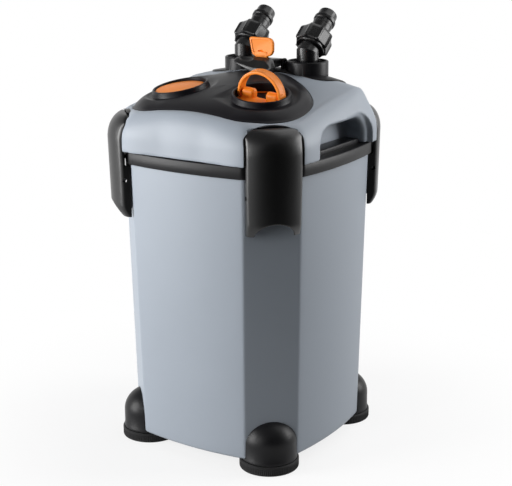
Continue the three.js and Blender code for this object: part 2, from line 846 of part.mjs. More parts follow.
function makePrimeSpring() {
  const wire = new THREE.Shape();
  wire.absarc(0, 0, springWire, 0, 2 * Math.PI, false);
  return solid(new THREE.ExtrudeGeometry(wire, {
    steps: springTurns * 8, curveSegments: 3, bevelEnabled: false, extrudePath: new SpringLine(),
  }));
}

function makePrimerBarrel() {
  const outer = controlBore - touchGap;
  return solid(revolve([
    [buttonStemRadius + runningGap, -barrelDepth],
    [outer + barrelWall, -barrelDepth],
    [outer + barrelWall, -wellDepth - touchGap],
    [outer, -wellDepth - touchGap],
    [outer, -barrelDepth + barrelWall],
    [buttonStemRadius + runningGap, -barrelDepth + barrelWall],
  ], 24));
}

// ---------------------------------------------------------------- service cap and bail
function bailLug(x) {
  const shape = new THREE.Shape();
  const foot = -capSink - 1;
  shape.moveTo(-bailLugRadius, foot);
  shape.lineTo(bailLugRadius, foot);
  shape.lineTo(bailLugRadius, bailHingeHeight);
  shape.absarc(0, bailHingeHeight, bailLugRadius, 0, Math.PI, false);
  const bore = new THREE.Path();
  bore.absarc(0, bailHingeHeight, bailPivotRadius + touchGap, 0, 2 * Math.PI, true);
  shape.holes.push(bore);
  return alongX(shape, x - bailLugWidth / 2, x + bailLugWidth / 2);
}

function makeServiceCap() {
  const top = -capSink;
  let cap = solid(revolve([
    [0, top - capThickness - capPlugDepth],
    [capPlugRadius, top - capThickness - capPlugDepth],
    [capPlugRadius, top - capThickness],
    [capRadius, top - capThickness],
    [capRadius, top - 1],
    [capRadius - 1, top],
    [0, top],
  ], 28));
  const lugX = Math.sqrt((bailRadius - bailThickness) ** 2 - bailLugRadius ** 2) - runningGap - bailLugWidth / 2;
  for (const x of [-lugX, lugX]) cap = cap.add(solid(bailLug(x)));
  return cap;
}

function makeBail() {
  const arch = new THREE.Shape();
  const outer = bailRadius;
  const inner = bailRadius - bailThickness;
  arch.moveTo(outer, 0);
  arch.absarc(0, 0, outer, 0, Math.PI, false);
  arch.lineTo(-inner, 0);
  arch.absarc(0, 0, inner, Math.PI, 0, true);
  const bow = prism(arch, -bailWidth / 2, bailWidth / 2).rotateX(Math.PI / 2);
  let bail = solid(bow);
  for (const side of [-1, 1]) {
    const eye = cylinder(bailWidth / 2, inner, outer, 20).rotateY(side * Math.PI / 2);
    const pivot = cylinder(bailPivotRadius, inner - bailPivotReach, inner + 1, 12).rotateY(side * Math.PI / 2);
    bail = bail.add(solid(eye)).add(solid(pivot));
  }
  return bail;
}

// ---------------------------------------------------------------- tap block
/** The outline of the tap block's foot plate, drawn outwards by a length. */
function tapOutline(grow) {
  const half = tapFlangeHalf + grow;
  const front = tapFlangeFront - grow;
  const rear = tapFlangeRear + grow;
  const corner = tapFlangeCorner;
  const shape = new THREE.Shape();
  shape.moveTo(-half + corner, front);
  shape.lineTo(half - corner, front);
  shape.quadraticCurveTo(half, front + 2, half, front + corner + 4);
  shape.quadraticCurveTo(half, rear, half - corner, rear);
  shape.lineTo(-half + corner, rear);
  shape.quadraticCurveTo(-half, rear, -half, front + corner + 4);
  shape.quadraticCurveTo(-half, front + 2, -half + corner, front);
  return shape;
}

function tapPostBottom() {
  return crown(tapX, tapY) - tapFlangeThickness + runningGap;
}

function makeTapBlock() {
  let block = crownPiece(tapOutline(0), -tapFlangeThickness, tapFlangeProud);
  const floor = tapPostBottom();
  const elbowFoot = tapCollarFloor - elbowSink;
  for (const side of [-1, 1]) {
    const at = (geometry) => solid(geometry.translate(side * tapX, tapY, 0));
    block = join(
      block,
      at(cylinder(tapCollarRadius, floor, tapCollarTop, 28)),
      at(cylinder(tapCollarRadius - tapPipeWall, bandTop + touchGap, floor + 1, 20)),
    );
    block = cut(
      block,
      at(cylinder(tapCollarRadius - tapCollarWall, tapCollarFloor, tapCollarTop + 1, 28)),
      at(cylinder(elbowRadius + runningGap, elbowFoot - touchGap, tapCollarTop, 20)),
      at(cylinder(elbowBore, bandTop - 1, tapCollarFloor, 16)),
    );
    block = block.add(solid(axleBracket(side)));
  }
  return block;
}

/** A cheek that carries one end of the release lever's axle. */
function axleBracket(side) {
  const near = leverArmHalf + runningGap;
  const width = bracketWidth;
  const foot = crown(0, axleY) - tapFlangeThickness;
  const shape = new THREE.Shape();
  shape.moveTo(axleY - 2 * bracketRadius, foot);
  shape.lineTo(axleY + 2 * bracketRadius, foot);
  shape.lineTo(axleY + bracketRadius, axleZ);
  shape.absarc(axleY, axleZ, bracketRadius, 0, Math.PI, false);
  const bore = new THREE.Path();
  bore.absarc(axleY, axleZ, axleRadius + touchGap, 0, 2 * Math.PI, true);
  shape.holes.push(bore);
  return side > 0 ? alongX(shape, near, near + width) : alongX(shape, -near - width, -near);
}

function makeElbow() {
  const bend = v3(0, 0, elbowBend);
  const lean = (geometry) => geometry.rotateX(-radians(elbowLean)).translate(0, 0, elbowBend);
  const foot = tapCollarFloor - elbowSink;
  let elbow = join(
    solid(cylinder(elbowRadius, foot, elbowBend, 20)),
    solid(new THREE.SphereGeometry(elbowRadius, 20, 10).rotateX(Math.PI / 2).translate(0, 0, bend.z)),
    solid(lean(cylinder(elbowRadius, 0, elbowArm, 20))),
  );
  elbow = cut(
    elbow,
    solid(cylinder(elbowBore, foot - 1, elbowBend, 12)),
    solid(new THREE.SphereGeometry(elbowBore, 12, 6).rotateX(Math.PI / 2).translate(0, 0, bend.z)),
    solid(lean(cylinder(elbowBore, 0, elbowArm + 1, 12))),
  );
  return elbow;
}

/** The union nut, along +Z from its lower end. */
function makeUnionNut() {
  const end = nutStart + nutLength;
  const flat = nutRadius * Math.cos(Math.PI / nutSides);
  const neck = flat - 1;
  let nut = solid(cylinder(nutRadius, nutStart + 3, end, nutSides).rotateZ(Math.PI / nutSides));
  nut = nut.intersect(solid(revolve([
    [0, nutStart], [flat, nutStart], [nutRadius, nutStart + 5], [nutRadius, end - 4], [flat - 2.5, end], [0, end],
  ], 16)));
  nut = nut.add(solid(cylinder(neck, nutStart, nutStart + 4, 16)));
  return cut(
    nut,
    solid(cylinder(nutBore, nutStart - 1, end - coverWall, 16)),
    solid(cylinder(tailRadius + runningGap, nutStart - 1, end + 1, 16)),
  );
}

function makeHoseTail() {
  const start = elbowArm + touchGap;
  const ridge = tailEnd - tailRidgeBack;
  const flange = tailRadius + 1.4;
  return solid(revolve([
    [tailBore, start],
    [flange, start],
    [flange, start + 3],
    [tailRadius, start + 3],
    [tailRadius, ridge],
    [tailRidge, ridge + 0.8],
    [tailRidge, ridge + 4],
    [tailTip, ridge + 5],
    [tailTip, tailEnd - 1],
    [tailTip - 1, tailEnd],
    [tailBore, tailEnd],
  ], 20));
}

// ---------------------------------------------------------------- release lever and tab
function makeReleaseLever() {
  const low = paddleTop - paddleDepth;
  const arm = new THREE.Shape();
  arm.moveTo(paddleBack - 6, low + 4);
  arm.lineTo(axleY, axleZ - leverArmRadius);
  arm.absarc(axleY, axleZ, leverArmRadius, -Math.PI / 2, Math.PI / 2, false);
  arm.lineTo(paddleBack - 6, paddleTop - 2);
  const bore = new THREE.Path();
  bore.absarc(axleY, axleZ, axleRadius + touchGap, 0, 2 * Math.PI, true);
  arm.holes.push(bore);
  const wedge = new THREE.Shape();
  wedge.moveTo(paddleFront, low + 1);
  wedge.lineTo(paddleBack, low + 5);
  wedge.lineTo(paddleBack, paddleTop - 3);
  wedge.quadraticCurveTo(paddleBack - 6, paddleTop, paddleBack - 12, paddleTop - 1);
  wedge.quadraticCurveTo(paddleFront + 4, paddleTop - 6, paddleFront, low + 1);
  const sides = new THREE.Shape();
  sides.moveTo(-paddleLeft, low + 8);
  sides.quadraticCurveTo(-paddleLeft / 2, low + 2, 0, low - 5);
  sides.lineTo(paddleRight, low - 5);
  sides.quadraticCurveTo(paddleRight - 3, paddleTop - 4, paddleRight - 8, paddleTop + 3);
  sides.lineTo(-paddleLeft / 2, paddleTop + 3);
  sides.quadraticCurveTo(-paddleLeft, paddleTop, -paddleLeft, low + 8);
  const plan = new THREE.Shape();
  plan.moveTo(-paddleLeft + 9, paddleFront);
  plan.lineTo(paddleRight, paddleFront);
  plan.lineTo(paddleRight - paddleSkew, paddleBack);
  plan.lineTo(-paddleLeft + 7, paddleBack);
  plan.quadraticCurveTo(-paddleLeft - 2, (paddleFront + paddleBack) / 2, -paddleLeft + 9, paddleFront);
  const paddle = solid(alongX(wedge, -paddleLeft, paddleRight))
    .intersect(solid(alongY(sides, 0, axleY)))
    .intersect(solid(prism(plan, low - 6, paddleTop + 6)));
  const lever = paddle.add(solid(alongX(arm, -leverArmHalf, leverArmHalf)));
  const slotHalf = tabWidth / 4 + runningGap;
  const slotReach = tabThickness / 2 + 3.5;
  const slot = box(-slotHalf, slotHalf, tabY - slotReach, tabY + slotReach, tabPivotZ - 4, tabBottom + tabHeight);
  const socketHalf = slotHalf + tabPivotReach;
  const socket = cylinder(tabPivotRadius + touchGap, -socketHalf, socketHalf, 14).rotateY(Math.PI / 2);
  return cut(lever, solid(slot), solid(socket.translate(0, tabY, tabPivotZ)));
}

function makeLockTab() {
  const plate = roundedRectangle(-tabWidth / 2, tabWidth / 2, tabBottom, tabBottom + tabHeight, 7);
  const half = tabThickness / 2;
  const stem = box(-tabWidth / 4, tabWidth / 4, tabY - half, tabY + half, tabPivotZ - 2.2, tabBottom + 4);
  const reach = tabWidth / 4 + tabPivotReach;
  const pivot = cylinder(tabPivotRadius, -reach, reach, 14).rotateY(Math.PI / 2);
  return join(
    solid(alongY(plate, tabY - half, tabY + half)),
    solid(stem),
    solid(pivot.translate(0, tabY, tabPivotZ)),
  );
}

// ---------------------------------------------------------------- latches
function leverProfile(z) {
  if (z <= leverKneeZ) {
    const left = Math.min(1, (leverKneeZ - z) / (leverKneeZ - leverTip));
    return THREE.MathUtils.lerp(leverKneeOut, leverTipOut, left * left);
  }
  if (z <= leverCrownStart) {
    return THREE.MathUtils.lerp(leverKneeOut, leverOut, (z - leverKneeZ) / (leverCrownStart - leverKneeZ));
  }
  const rise = Math.min(1, (z - leverCrownStart) / (leverTop - leverCrownStart));
  return leverCrownOut + (leverOut - leverCrownOut) * Math.sqrt(1 - rise * rise);
}

function leverHalfWidth(z) {
  return THREE.MathUtils.lerp(leverTipHalf, leverHalf, THREE.MathUtils.smoothstep(z, leverTip, bandBottom));
}

/** A level slice of the lever: a straight back, and a front that bows on one radius from edge to edge. */
function leverSlice(z, back, half, front) {
  const radius = (leverHalf ** 2 + leverBow ** 2) / (2 * leverBow);
  const most = Math.max(0.5, front - back - leverEdge);
  const width = Math.min(half, Math.sqrt(radius ** 2 - Math.max(0, radius - most) ** 2));
  const points = [-1, -0.85, -0.6, -0.3, 0, 0.3, 0.6, 0.85, 1].map((share) => {
    const bow = radius - Math.sqrt(radius ** 2 - (share * width) ** 2);
    return v3(front - bow, share * width, z);
  });
  return [v3(back, width, z), v3(back, -width, z), ...points];
}

function makeLever() {
  const cheekBack = rimCorner + leverGap;
  const bandBack = rimCorner + bandProud + leverBandGap;
  const coverBack = rimCorner + coverCornerProud + leverCoverGap;
  const underBand = bandBottom - 2;
  const underHook = hookFloor + hookGap;
  const slice = (z, back, half = leverHalfWidth(z)) => leverSlice(z, back, half, leverProfile(z));
  const low = [leverTip, (leverTip + leverKneeZ) / 2, leverKneeZ, (leverKneeZ + underBand) / 2, underBand];
  const high = [underBand + 0.02, leverCrownStart, leverCrownStart + 9, leverCrownStart + 16, underHook];
  const hook = [underHook + 0.02, leverTop - 3.6, leverTop - 1.6, leverTop - 0.1];
  const highBack = (z) => THREE.MathUtils.lerp(
    bandBack, coverBack, THREE.MathUtils.smoothstep(z, leverCrownStart, underHook),
  );
  const hookTip = (z) => hookSeatOut + touchGap + 0.25 * Math.max(0, z - leverTop + 3.6);
  const lever = solid(loft([
    ...low.map((z) => slice(z, cheekBack)),
    ...high.map((z) => slice(z, highBack(z))),
    ...hook.map((z) => slice(z, hookTip(z), Math.min(hookHalf, leverHalfWidth(z)))),
  ]));
  const roomLevels = [leverTip - 5, leverTip, leverKneeZ, leverCrownStart, leverCrownStart + 9, underHook - 7];
  const room = roomLevels.map((z) => {
    const front = Math.min(leverProfile(z), leverProfile(z + 3)) - leverWall;
    return leverSlice(z, cheekBack - leverReach / 2, leverHalfWidth(Math.max(z, leverTip)) - leverWall, front);
  });
  const arch = cylinder(leverArchRadius, 0, rimCorner + 2 * leverReach, 24).rotateY(Math.PI / 2)
    .scale(1, leverArchSpread, 1).translate(0, 0, leverTip);
  const pinBore = cylinder(leverPinRadius + touchGap, -2 * leverHalf, 2 * leverHalf, 20).rotateX(Math.PI / 2)
    .translate(leverPinOut, 0, leverPinZ);
  return cut(lever, solid(loft(room)), solid(arch), solid(pinBore));
}

/** The loop between the anchor pin at its own origin and the lever pin above it. */
function makeLink() {
  const length = Math.hypot(leverPinOut - anchorOut, leverPinZ - anchorZ);
  const half = lugHalfGap - runningGap;
  const barrel = (radius, reach, z) => {
    const bar = cylinder(radius, -reach, reach, 14).rotateX(Math.PI / 2);
    return solid(bar.translate(0, 0, z));
  };
  const plate = box(-linkThickness / 2, linkThickness / 2, -half, half, 0, length);
  const side = half - linkFrame;
  const window = box(-linkFrame, linkFrame, -side, side, linkFrame + 1, length - linkFrame - 1);
  return cut(
    join(solid(plate), barrel(linkEyeRadius, half, length), barrel(lugRadius - 0.1, half, 0)),
    solid(window),
    barrel(leverPinRadius + touchGap, leverHalf, length),
    barrel(anchorPinRadius + touchGap, leverHalf, 0),
  );
}

// ---------------------------------------------------------------- motor and pump
function makeMotorHousing() {
  const bottom = bandTop + touchGap;
  const top = bottom + motorHeight;
  return solid(voluteCentre(revolve([
    [rotorRadius + rotorClearance, bottom],
    [motorRadius, bottom],
    [motorRadius, top - motorChamfer],
    [motorRadius - motorChamfer, top],
    [0, top],
    [0, bottom + rotorLength + 4],
    [rotorRadius + rotorClearance, bottom + rotorLength + 4],
  ], 24)));
}

function makeImpeller() {
  const discTop = plateBottom - 2;
  const rotorTop = bandTop + rotorLength;
  let rotor = solid(revolve([
    [shaftRadius + touchGap, discTop - 2],
    [bladeRadius, discTop - 2],
    [bladeRadius, discTop],
    [rotorRadius, discTop],
    [rotorRadius, rotorTop],
    [shaftRadius + touchGap, rotorTop],
  ], 18));
  for (let i = 0; i < bladeCount; i += 1) {
    const half = bladeWidth / 2;
    const blade = box(2 * shaftRadius, bladeRadius, -half, half, discTop - bladeHeight, discTop - 1);
    rotor = rotor.add(solid(blade.rotateZ((i / bladeCount) * 2 * Math.PI)));
  }
  return rotor;
}

function makeImpellerShaft() {
  const low = plateBottom - voluteDepth + touchGap;
  return solid(cylinder(shaftRadius, low, bandTop + rotorLength + 3, 16));
}

function makeImpellerCover() {
  const top = plateBottom - voluteDepth - touchGap;
  const outer = voluteRadius + voluteWall;
  let cover = solid(revolve([
    [voluteInlet, top - voluteCoverThickness - 6],
    [voluteInlet + 2, top - voluteCoverThickness - 6],
    [voluteInlet + 2, top - voluteCoverThickness],
    [outer, top - voluteCoverThickness],
    [outer, top],
    [voluteInlet, top],
  ], 18));
  for (const turn of [0, 1, 2]) {
    const spoke = box(-voluteInlet - 1, voluteInlet + 1, -1.2, 1.2, top - 4, top);
    cover = cover.add(solid(spoke.rotateZ(turn * Math.PI / 3)));
  }
  return cover;
}

// ---------------------------------------------------------------- media baskets
function basketBottom(level) {
  return basketFloorZ + level * basketPitch;
}

function makeBasket(level) {
  const bottom = basketBottom(level);
  const top = bottom + basketHeight;
  const inset = tubWall + basketGap;
  const outer = loft([tubRing(bottom, inset + basketTaper, 2), tubRing(top, inset, 2)]);
  const inner = loft([
    tubRing(bottom + basketWall, inset + basketTaper + basketWall, 2),
    tubRing(top + 1, inset + basketWall, 2),
  ]);
  let basket = cut(solid(outer), solid(inner));
  const reach = tubBottomHalf - basketSlotMargin;
  const shortReach = tubBottomHalf - tubBottomCut - basketSlotMargin / 2;
  const halfWidth = basketSlotWidth / 2;
  for (let i = 0; i < basketSlots; i += 1) {
    const y = reach * (-1 + (2 * i + 1) / basketSlots);
    const end = Math.abs(y) > shortReach ? shortReach : reach;
    for (const [x0, x1] of [[basketRib, end], [-end, -basketRib]]) {
      const slot = box(x0, x1, y - halfWidth, y + halfWidth, bottom - 1, bottom + basketWall + 1);
      basket = basket.subtract(solid(slot));
    }
  }
  const sleeve = cylinder(intakeRadius + 3, bottom, top - 4, 16).translate(-tapX, tapY, 0);
  const passage = cylinder(intakeRadius + 1, bottom - 1, top + 1, 16).translate(-tapX, tapY, 0);
  return basket.add(solid(sleeve)).subtract(solid(passage));
}

function makeMedia(level) {
  const bottom = basketBottom(level) + basketWall + touchGap;
  const inset = tubWall + basketGap + basketWall + mediaGap;
  const pad = loft([tubRing(bottom, inset + basketTaper, 2), tubRing(bottom + mediaHeight, inset + 1, 2)]);
  const passage = cylinder(intakeRadius + 4, bottom - 1, bottom + mediaHeight + 1, 16);
  return cut(solid(pad), solid(passage.translate(-tapX, tapY, 0)));
}

function makeIntakeTube() {
  const bottom = basketFloorZ + 2;
  const top = plateBottom - touchGap;
  return solid(revolve([
    [intakeRadius - intakeWall, bottom],
    [intakeRadius, bottom],
    [intakeRadius, top],
    [intakeRadius - intakeWall, top],
  ], 16).translate(-tapX, tapY, 0));
}

function makeGland() {
  const start = tubTopHalf + sideBow + coverProud + touchGap;
  return solid(revolve([
    [glandBore, 0],
    [glandRadius, 0],
    [glandRadius, glandLength / 3],
    [glandNeck, glandLength / 2],
    [glandNeck - 1, glandLength],
    [glandBore, glandLength],
  ], 20).rotateX(-Math.PI / 2).translate(0, start, glandZ));
}

// ---------------------------------------------------------------- materials
function plastic(color, roughness = 0.45) {
  return () => new THREE.MeshStandardMaterial({ color, roughness, metalness: 0 });
}

const greyShell = plastic(0x9aa3ad, 0.42);
const blackShell = plastic(0x232326, 0.4);
const orangeShell = plastic(0xf5943c, 0.38);
const blackRubber = plastic(0x161617, 0.75);
const innerPlastic = plastic(0x3a3d42, 0.55);
const foam = plastic(0x27303c, 0.95);
const ceramic = plastic(0xe8e6df, 0.3);
const steel = () => new THREE.MeshStandardMaterial({ color: 0xb9bcc0, roughness: 0.3, metalness: 1 });

// ---------------------------------------------------------------- assembly
const group = new THREE.Group();

function addMesh(parent, name, body, material) {
  const mesh = new THREE.Mesh(body.isBufferGeometry ? body : toGeometry(body), material());
  mesh.name = name;
  parent.add(mesh);
  return mesh;
}

function addBody() {
  addMesh(group, 'canister', makeCanister(), greyShell);
  const foot = toGeometry(makeFoot());
  const pad = toGeometry(makeFootPad());
  cornerAngles.forEach((angle, i) => {
    const corner = new THREE.Group();
    corner.rotation.z = radians(angle);
    group.add(corner);
    addMesh(corner, `foot_${cornerNames[i]}`, foot.clone(), blackShell);
    addMesh(corner, `foot_pad_${cornerNames[i]}`, pad.clone(), blackRubber);
  });
}

function addHead() {
  addMesh(group, 'seal_ring', makeSealRing(), blackRubber);
  addMesh(group, 'head_base', makeHeadBase(), blackShell);
  addMesh(group, 'head_cover', makeHeadCover(), greyShell);
  addMesh(group, 'top_panel', makeTopPanel(), blackShell);
  addMesh(group, 'tap_block', makeTapBlock(), blackShell);
  addMesh(group, 'cable_gland', makeGland(), blackRubber);
}

function addPump() {
  addMesh(group, 'motor_housing', makeMotorHousing(), innerPlastic);
  const rotor = new THREE.Group();
  rotor.position.set(motorX, motorY, 0);
  group.add(rotor);
  addMesh(rotor, 'impeller', makeImpeller(), innerPlastic);
  addMesh(rotor, 'impeller_shaft', makeImpellerShaft(), ceramic);
  addMesh(rotor, 'impeller_cover', makeImpellerCover(), innerPlastic);
}

function addBaskets() {
  for (let level = 0; level < basketCount; level += 1) {
    addMesh(group, `media_basket_${level + 1}`, makeBasket(level), innerPlastic);
    addMesh(group, `media_pad_${level + 1}`, makeMedia(level), foam);
  }
  addMesh(group, 'intake_tube', makeIntakeTube(), innerPlastic);
}

function addLatches() {
  const lever = toGeometry(makeLever());
  const link = toGeometry(makeLink());
  const pinHalf = leverHalf - leverPinInset;
  const leverPin = cylinder(leverPinRadius, -pinHalf, pinHalf, 12).rotateX(Math.PI / 2);
  const anchorHalf = lugHalfGap + lugWidth - touchGap;
  const anchorPin = cylinder(anchorPinRadius, -anchorHalf, anchorHalf, 12).rotateX(Math.PI / 2);
  cornerAngles.forEach((angle, i) => {
    const corner = new THREE.Group();
    corner.rotation.z = radians(angle);
    group.add(corner);
    const name = cornerNames[i];
    addMesh(corner, `latch_lever_${name}`, lever.clone(), blackShell);
    const linkMesh = addMesh(corner, `latch_link_${name}`, link.clone(), blackShell);
    linkMesh.position.set(anchorOut, 0, anchorZ);
    linkMesh.rotation.y = Math.atan2(leverPinOut - anchorOut, leverPinZ - anchorZ);
    addMesh(corner, `lever_pin_${name}`, leverPin.clone(), steel).position.set(leverPinOut, 0, leverPinZ);
    addMesh(corner, `anchor_pin_${name}`, anchorPin.clone(), steel).position.set(anchorOut, 0, anchorZ);
  });
}

function addControls() {
  const left = new THREE.Group();
  left.applyMatrix4(controlFrame(-1));
  group.add(left);
  addMesh(left, 'prime_button', makePrimeButton(), orangeShell);
  addMesh(left, 'prime_spring', makePrimeSpring(), steel);
  addMesh(left, 'primer_barrel', makePrimerBarrel(), innerPlastic);
  const right = new THREE.Group();
  right.applyMatrix4(controlFrame(1));
  group.add(right);
  addMesh(right, 'service_cap', makeServiceCap(), orangeShell);
  addMesh(right, 'cap_bail', makeBail(), orangeShell).position.z = bailHingeHeight;
}

function addTaps() {
  const elbow = toGeometry(makeElbow());
  const nut = toGeometry(makeUnionNut());
  const tail = toGeometry(makeHoseTail());
  for (const [side, name] of [[-1, 'left'], [1, 'right']]) {
    const tap = new THREE.Group();
    tap.position.set(side * tapX, tapY, 0);
    group.add(tap);
    addMesh(tap, `elbow_${name}`, elbow.clone(), blackShell);
    const leaning = new THREE.Group();
    leaning.position.z = elbowBend;
    leaning.rotation.x = -radians(elbowLean);
    tap.add(leaning);
    addMesh(leaning, `union_nut_${name}`, nut.clone(), blackShell);
    addMesh(leaning, `hose_tail_${name}`, tail.clone(), blackShell);
  }
  addMesh(group, 'release_lever', makeReleaseLever(), blackShell);
  addMesh(group, 'lock_tab', makeLockTab(), orangeShell);
  const axleHalf = leverArmHalf + runningGap + bracketWidth - touchGap;
  const axle = cylinder(axleRadius, -axleHalf, axleHalf, 16).rotateY(Math.PI / 2);
  addMesh(group, 'lever_axle', axle, steel).position.set(0, axleY, axleZ);
}

addBody();
addHead();
addPump();
addBaskets();
addLatches();
addControls();
addTaps();

export default group;
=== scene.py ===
"""Looks of the canister filter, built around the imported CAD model.

Lengths are millimetres until a mesh is made, and metres from there on. The camera, the floor and the
lamps are placed in metres. The shapes repeat the sizes and curves of the CAD source, with finer meshes,
softer edges and small moulded details.
"""
import json
import math
import bmesh
import bpy
from mathutils import Matrix, Vector


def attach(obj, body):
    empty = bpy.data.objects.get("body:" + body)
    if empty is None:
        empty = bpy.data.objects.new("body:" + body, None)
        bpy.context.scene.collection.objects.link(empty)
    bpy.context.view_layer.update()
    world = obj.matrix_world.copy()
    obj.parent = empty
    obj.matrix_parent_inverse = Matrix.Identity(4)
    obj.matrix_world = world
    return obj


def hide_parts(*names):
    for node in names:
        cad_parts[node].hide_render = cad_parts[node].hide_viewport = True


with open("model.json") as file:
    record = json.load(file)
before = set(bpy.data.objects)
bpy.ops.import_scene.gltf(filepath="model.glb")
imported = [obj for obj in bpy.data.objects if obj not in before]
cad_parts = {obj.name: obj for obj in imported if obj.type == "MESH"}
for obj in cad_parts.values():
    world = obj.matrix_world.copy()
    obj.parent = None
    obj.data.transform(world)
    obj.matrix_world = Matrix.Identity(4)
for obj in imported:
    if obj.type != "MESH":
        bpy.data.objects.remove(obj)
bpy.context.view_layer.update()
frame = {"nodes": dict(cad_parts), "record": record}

scene = bpy.context.scene
scene.view_settings.view_transform = "Standard"
MM = 0.001
CORNERS = {"right_rear": 45, "left_rear": 135, "left_front": 225, "right_front": 315}
SIDES = {"left": -1, "right": 1}

# ---- sizes, as in the CAD source
TUB_TOP_HALF, TUB_BOTTOM_HALF = 126.0, 119.1
TUB_TOP_CUT, TUB_BOTTOM_CUT = 48.1, 45.2
SIDE_BOW = 6.5
TUB_EDGE, COVER_EDGE = 2.5, 6.0
TUB_BOTTOM, TUB_WALL, TUB_FLOOR = 13.8, 3.5, 4.2
BAND_BOTTOM, BAND_TOP, BAND_PROUD = 355.0, 369.6, 3.7
RIM_TOP = 362.0
BASE_PLATE = 365.6
COVER_BOTTOM = 369.9
COVER_PROUD, COVER_CORNER_PROUD, COVER_WALL = 1.5, 3.1, 3.2
SHOULDER_START = 384.0
SHOULDERS = {"front": 17.0, "side": 24.0, "rear": 30.0, "corner": 14.0}
FLARE = 8.5
HANDLE_HALF, HANDLE_TOP, HANDLE_RADIUS, HANDLE_INNER, HANDLE_SHIFT = 53.5, 403.0, 25.0, 101.5, 8.5
PANEL_MIDDLE, TAP_MIDDLE = (0.0, -42.0), (0.0, 73.0)
CONTROL = Vector((57.5, -54.6, 440.7))
SLOPE_X, SLOPE_Y = math.tan(math.radians(6.3)), math.tan(math.radians(9.7))
CONTROL_BORE, COLLAR_RADIUS, DISC_RADIUS = 31.0, 34.0, 30.5
BUTTON_STEM, BUTTON_TRAVEL = 11, 12
BUTTON_SUNK, BUTTON_LEAN, BUTTON_WAY = 1.7, 0.056, (0.84, 0.54)
SPRING_WIRE, SPRING_RADIUS, SPRING_TURNS, SPRING_FOOT = 1.6, 16.0, 5, -41.7
CAP_FACE, POCKET_FLOOR, LUG_RADIUS = -9.6, -12.4, 5.5
BAIL_INNER, BAIL_OUTER, BAIL_HALF, BAIL_HINGE = 25.4, 29.0, 6.5, -2.7
TAP_X, TAP_Y = 45.3, 68.2
HOSE_BORE, ELBOW_RADIUS, ELBOW_BEND, ELBOW_LEAN = 9.6, 13.5, 472.4, 50.0
AXLE_Y, AXLE_Z, AXLE_BORE = 60, 459.5, 2.3
TAB_Y, TAB_Z, TAB_NEAR, TAB_FAR, TAB_HALF = 36, 463.5, 34, 38, 17.25
PADDLE_LEFT, PADDLE_RIGHT, PADDLE_CURL = -31.5, 23.5, 34
GLAND_OUT, GLAND_Z = 134.3, 378
LEVER_TIP, LEVER_TOP, LEVER_HALF, LEVER_TIP_HALF, LEVER_BOW = 290.0, 411.5, 32.1, 31.2, 11.0
LEVER_HEEL, LEVER_SHOULDER = 306, 382
TIP_OUT, HEEL_OUT, SHOULDER_OUT, CROWN_OUT, CROWN_REACH = 158.7, 165.4, 167.3, 146.2, 21.1
HOOK_LEDGE, HOOK_OUT, HOOK_HALF = 404.5, 144.2, 27.0
PIN_OUT, PIN_Z, ANCHOR_OUT, ANCHOR_Z = 152.0, 335.1, 154.6, 307.0
FOOT_OUT, FOOT_RADIUS, PAD_RADIUS, PAD_HEIGHT = 125.1, 33.3, 35.7, 11.7


# ---- mesh tools
def make_piece(name, points, faces):
    """An object from points in millimetres, welded, with its faces turned outwards."""
    mesh = bpy.data.meshes.new(name)
    mesh.from_pydata([Vector(p) * MM for p in points], [], faces)
    work = bmesh.new()
    work.from_mesh(mesh)
    bmesh.ops.remove_doubles(work, verts=work.verts, dist=2e-6)
    bmesh.ops.recalc_face_normals(work, faces=work.faces)
    work.to_mesh(mesh)
    work.free()
    piece = bpy.data.objects.new(name, mesh)
    scene.collection.objects.link(piece)
    return piece


def loft(name, rings, around=False):
    """A closed skin through rings of equal length; around joins the last ring to the first."""
    count = len(rings[0])
    points = [p for ring in rings for p in ring]
    faces = []
    for level in range(len(rings) if around else len(rings) - 1):
        low, high = level * count, (level + 1) % len(rings) * count
        for i in range(count):
            j = (i + 1) % count
            faces.append((low + i, low + j, high + j, high + i))
    if not around:
        faces.append(tuple(range(count))[::-1])
        faces.append(tuple(range(len(points) - count, len(points))))
    return make_piece(name, points, faces)


def lathe(name, profile, sides=72, wave=None):
    """A revolved skin of [radius, height] pairs, closed on the axis or on itself."""
    rings = []
    for i in range(sides):
        angle = 2 * math.pi * i / sides
        ring = []
        for r, z in profile:
            r = r + (wave(angle, r, z) if wave else 0)
            ring.append((r * math.cos(angle), r * math.sin(angle), z))
        rings.append(ring)
    count = len(profile)
    closed = profile[0][0] > 0
    points = [p for ring in rings for p in ring]
    faces = []
    for i in range(sides):
        a, b = i * count, (i + 1) % sides * count
        for k in range(count if closed else count - 1):
            m = (k + 1) % count
            face = (a + k, b + k, b + m, a + m)
            if profile[k][0] == 0:
                face = (a + k, b + m, a + m)
            elif profile[m][0] == 0:
                face = (a + k, b + k, a + m)
            faces.append(face)
    return make_piece(name, points, faces)


def prism(name, outline, low, high):
    return loft(name, [[(x, y, low) for x, y in outline], [(x, y, high) for x, y in outline]])


def along_x(name, outline, left, right):
    """A side profile in Y and Z drawn through along X."""
    return loft(name, [[(left, y, z) for y, z in outline], [(right, y, z) for y, z in outline]])


def along_y(name, outline, near, far):
    """A side profile in X and Z drawn through along Y."""
    return loft(name, [[(x, near, z) for x, z in outline], [(x, far, z) for x, z in outline]])


def block(name, x0, x1, y0, y1, z0, z1):
    return prism(name, [(x0, y0), (x1, y0), (x1, y1), (x0, y1)], z0, z1)


def rod(name, radius, low, high, x=0.0, y=0.0, sides=48):
    return place(lathe(name, [(0, low), (radius, low), (radius, high), (0, high)], sides), shift(x, y))


def bar(name, radius, reach, y, z, sides):
    """A round bar across the object, centred on X."""
    return place(rod(name, radius, -reach, reach, sides=sides), spin(90, "Y"), shift(0, y, z))


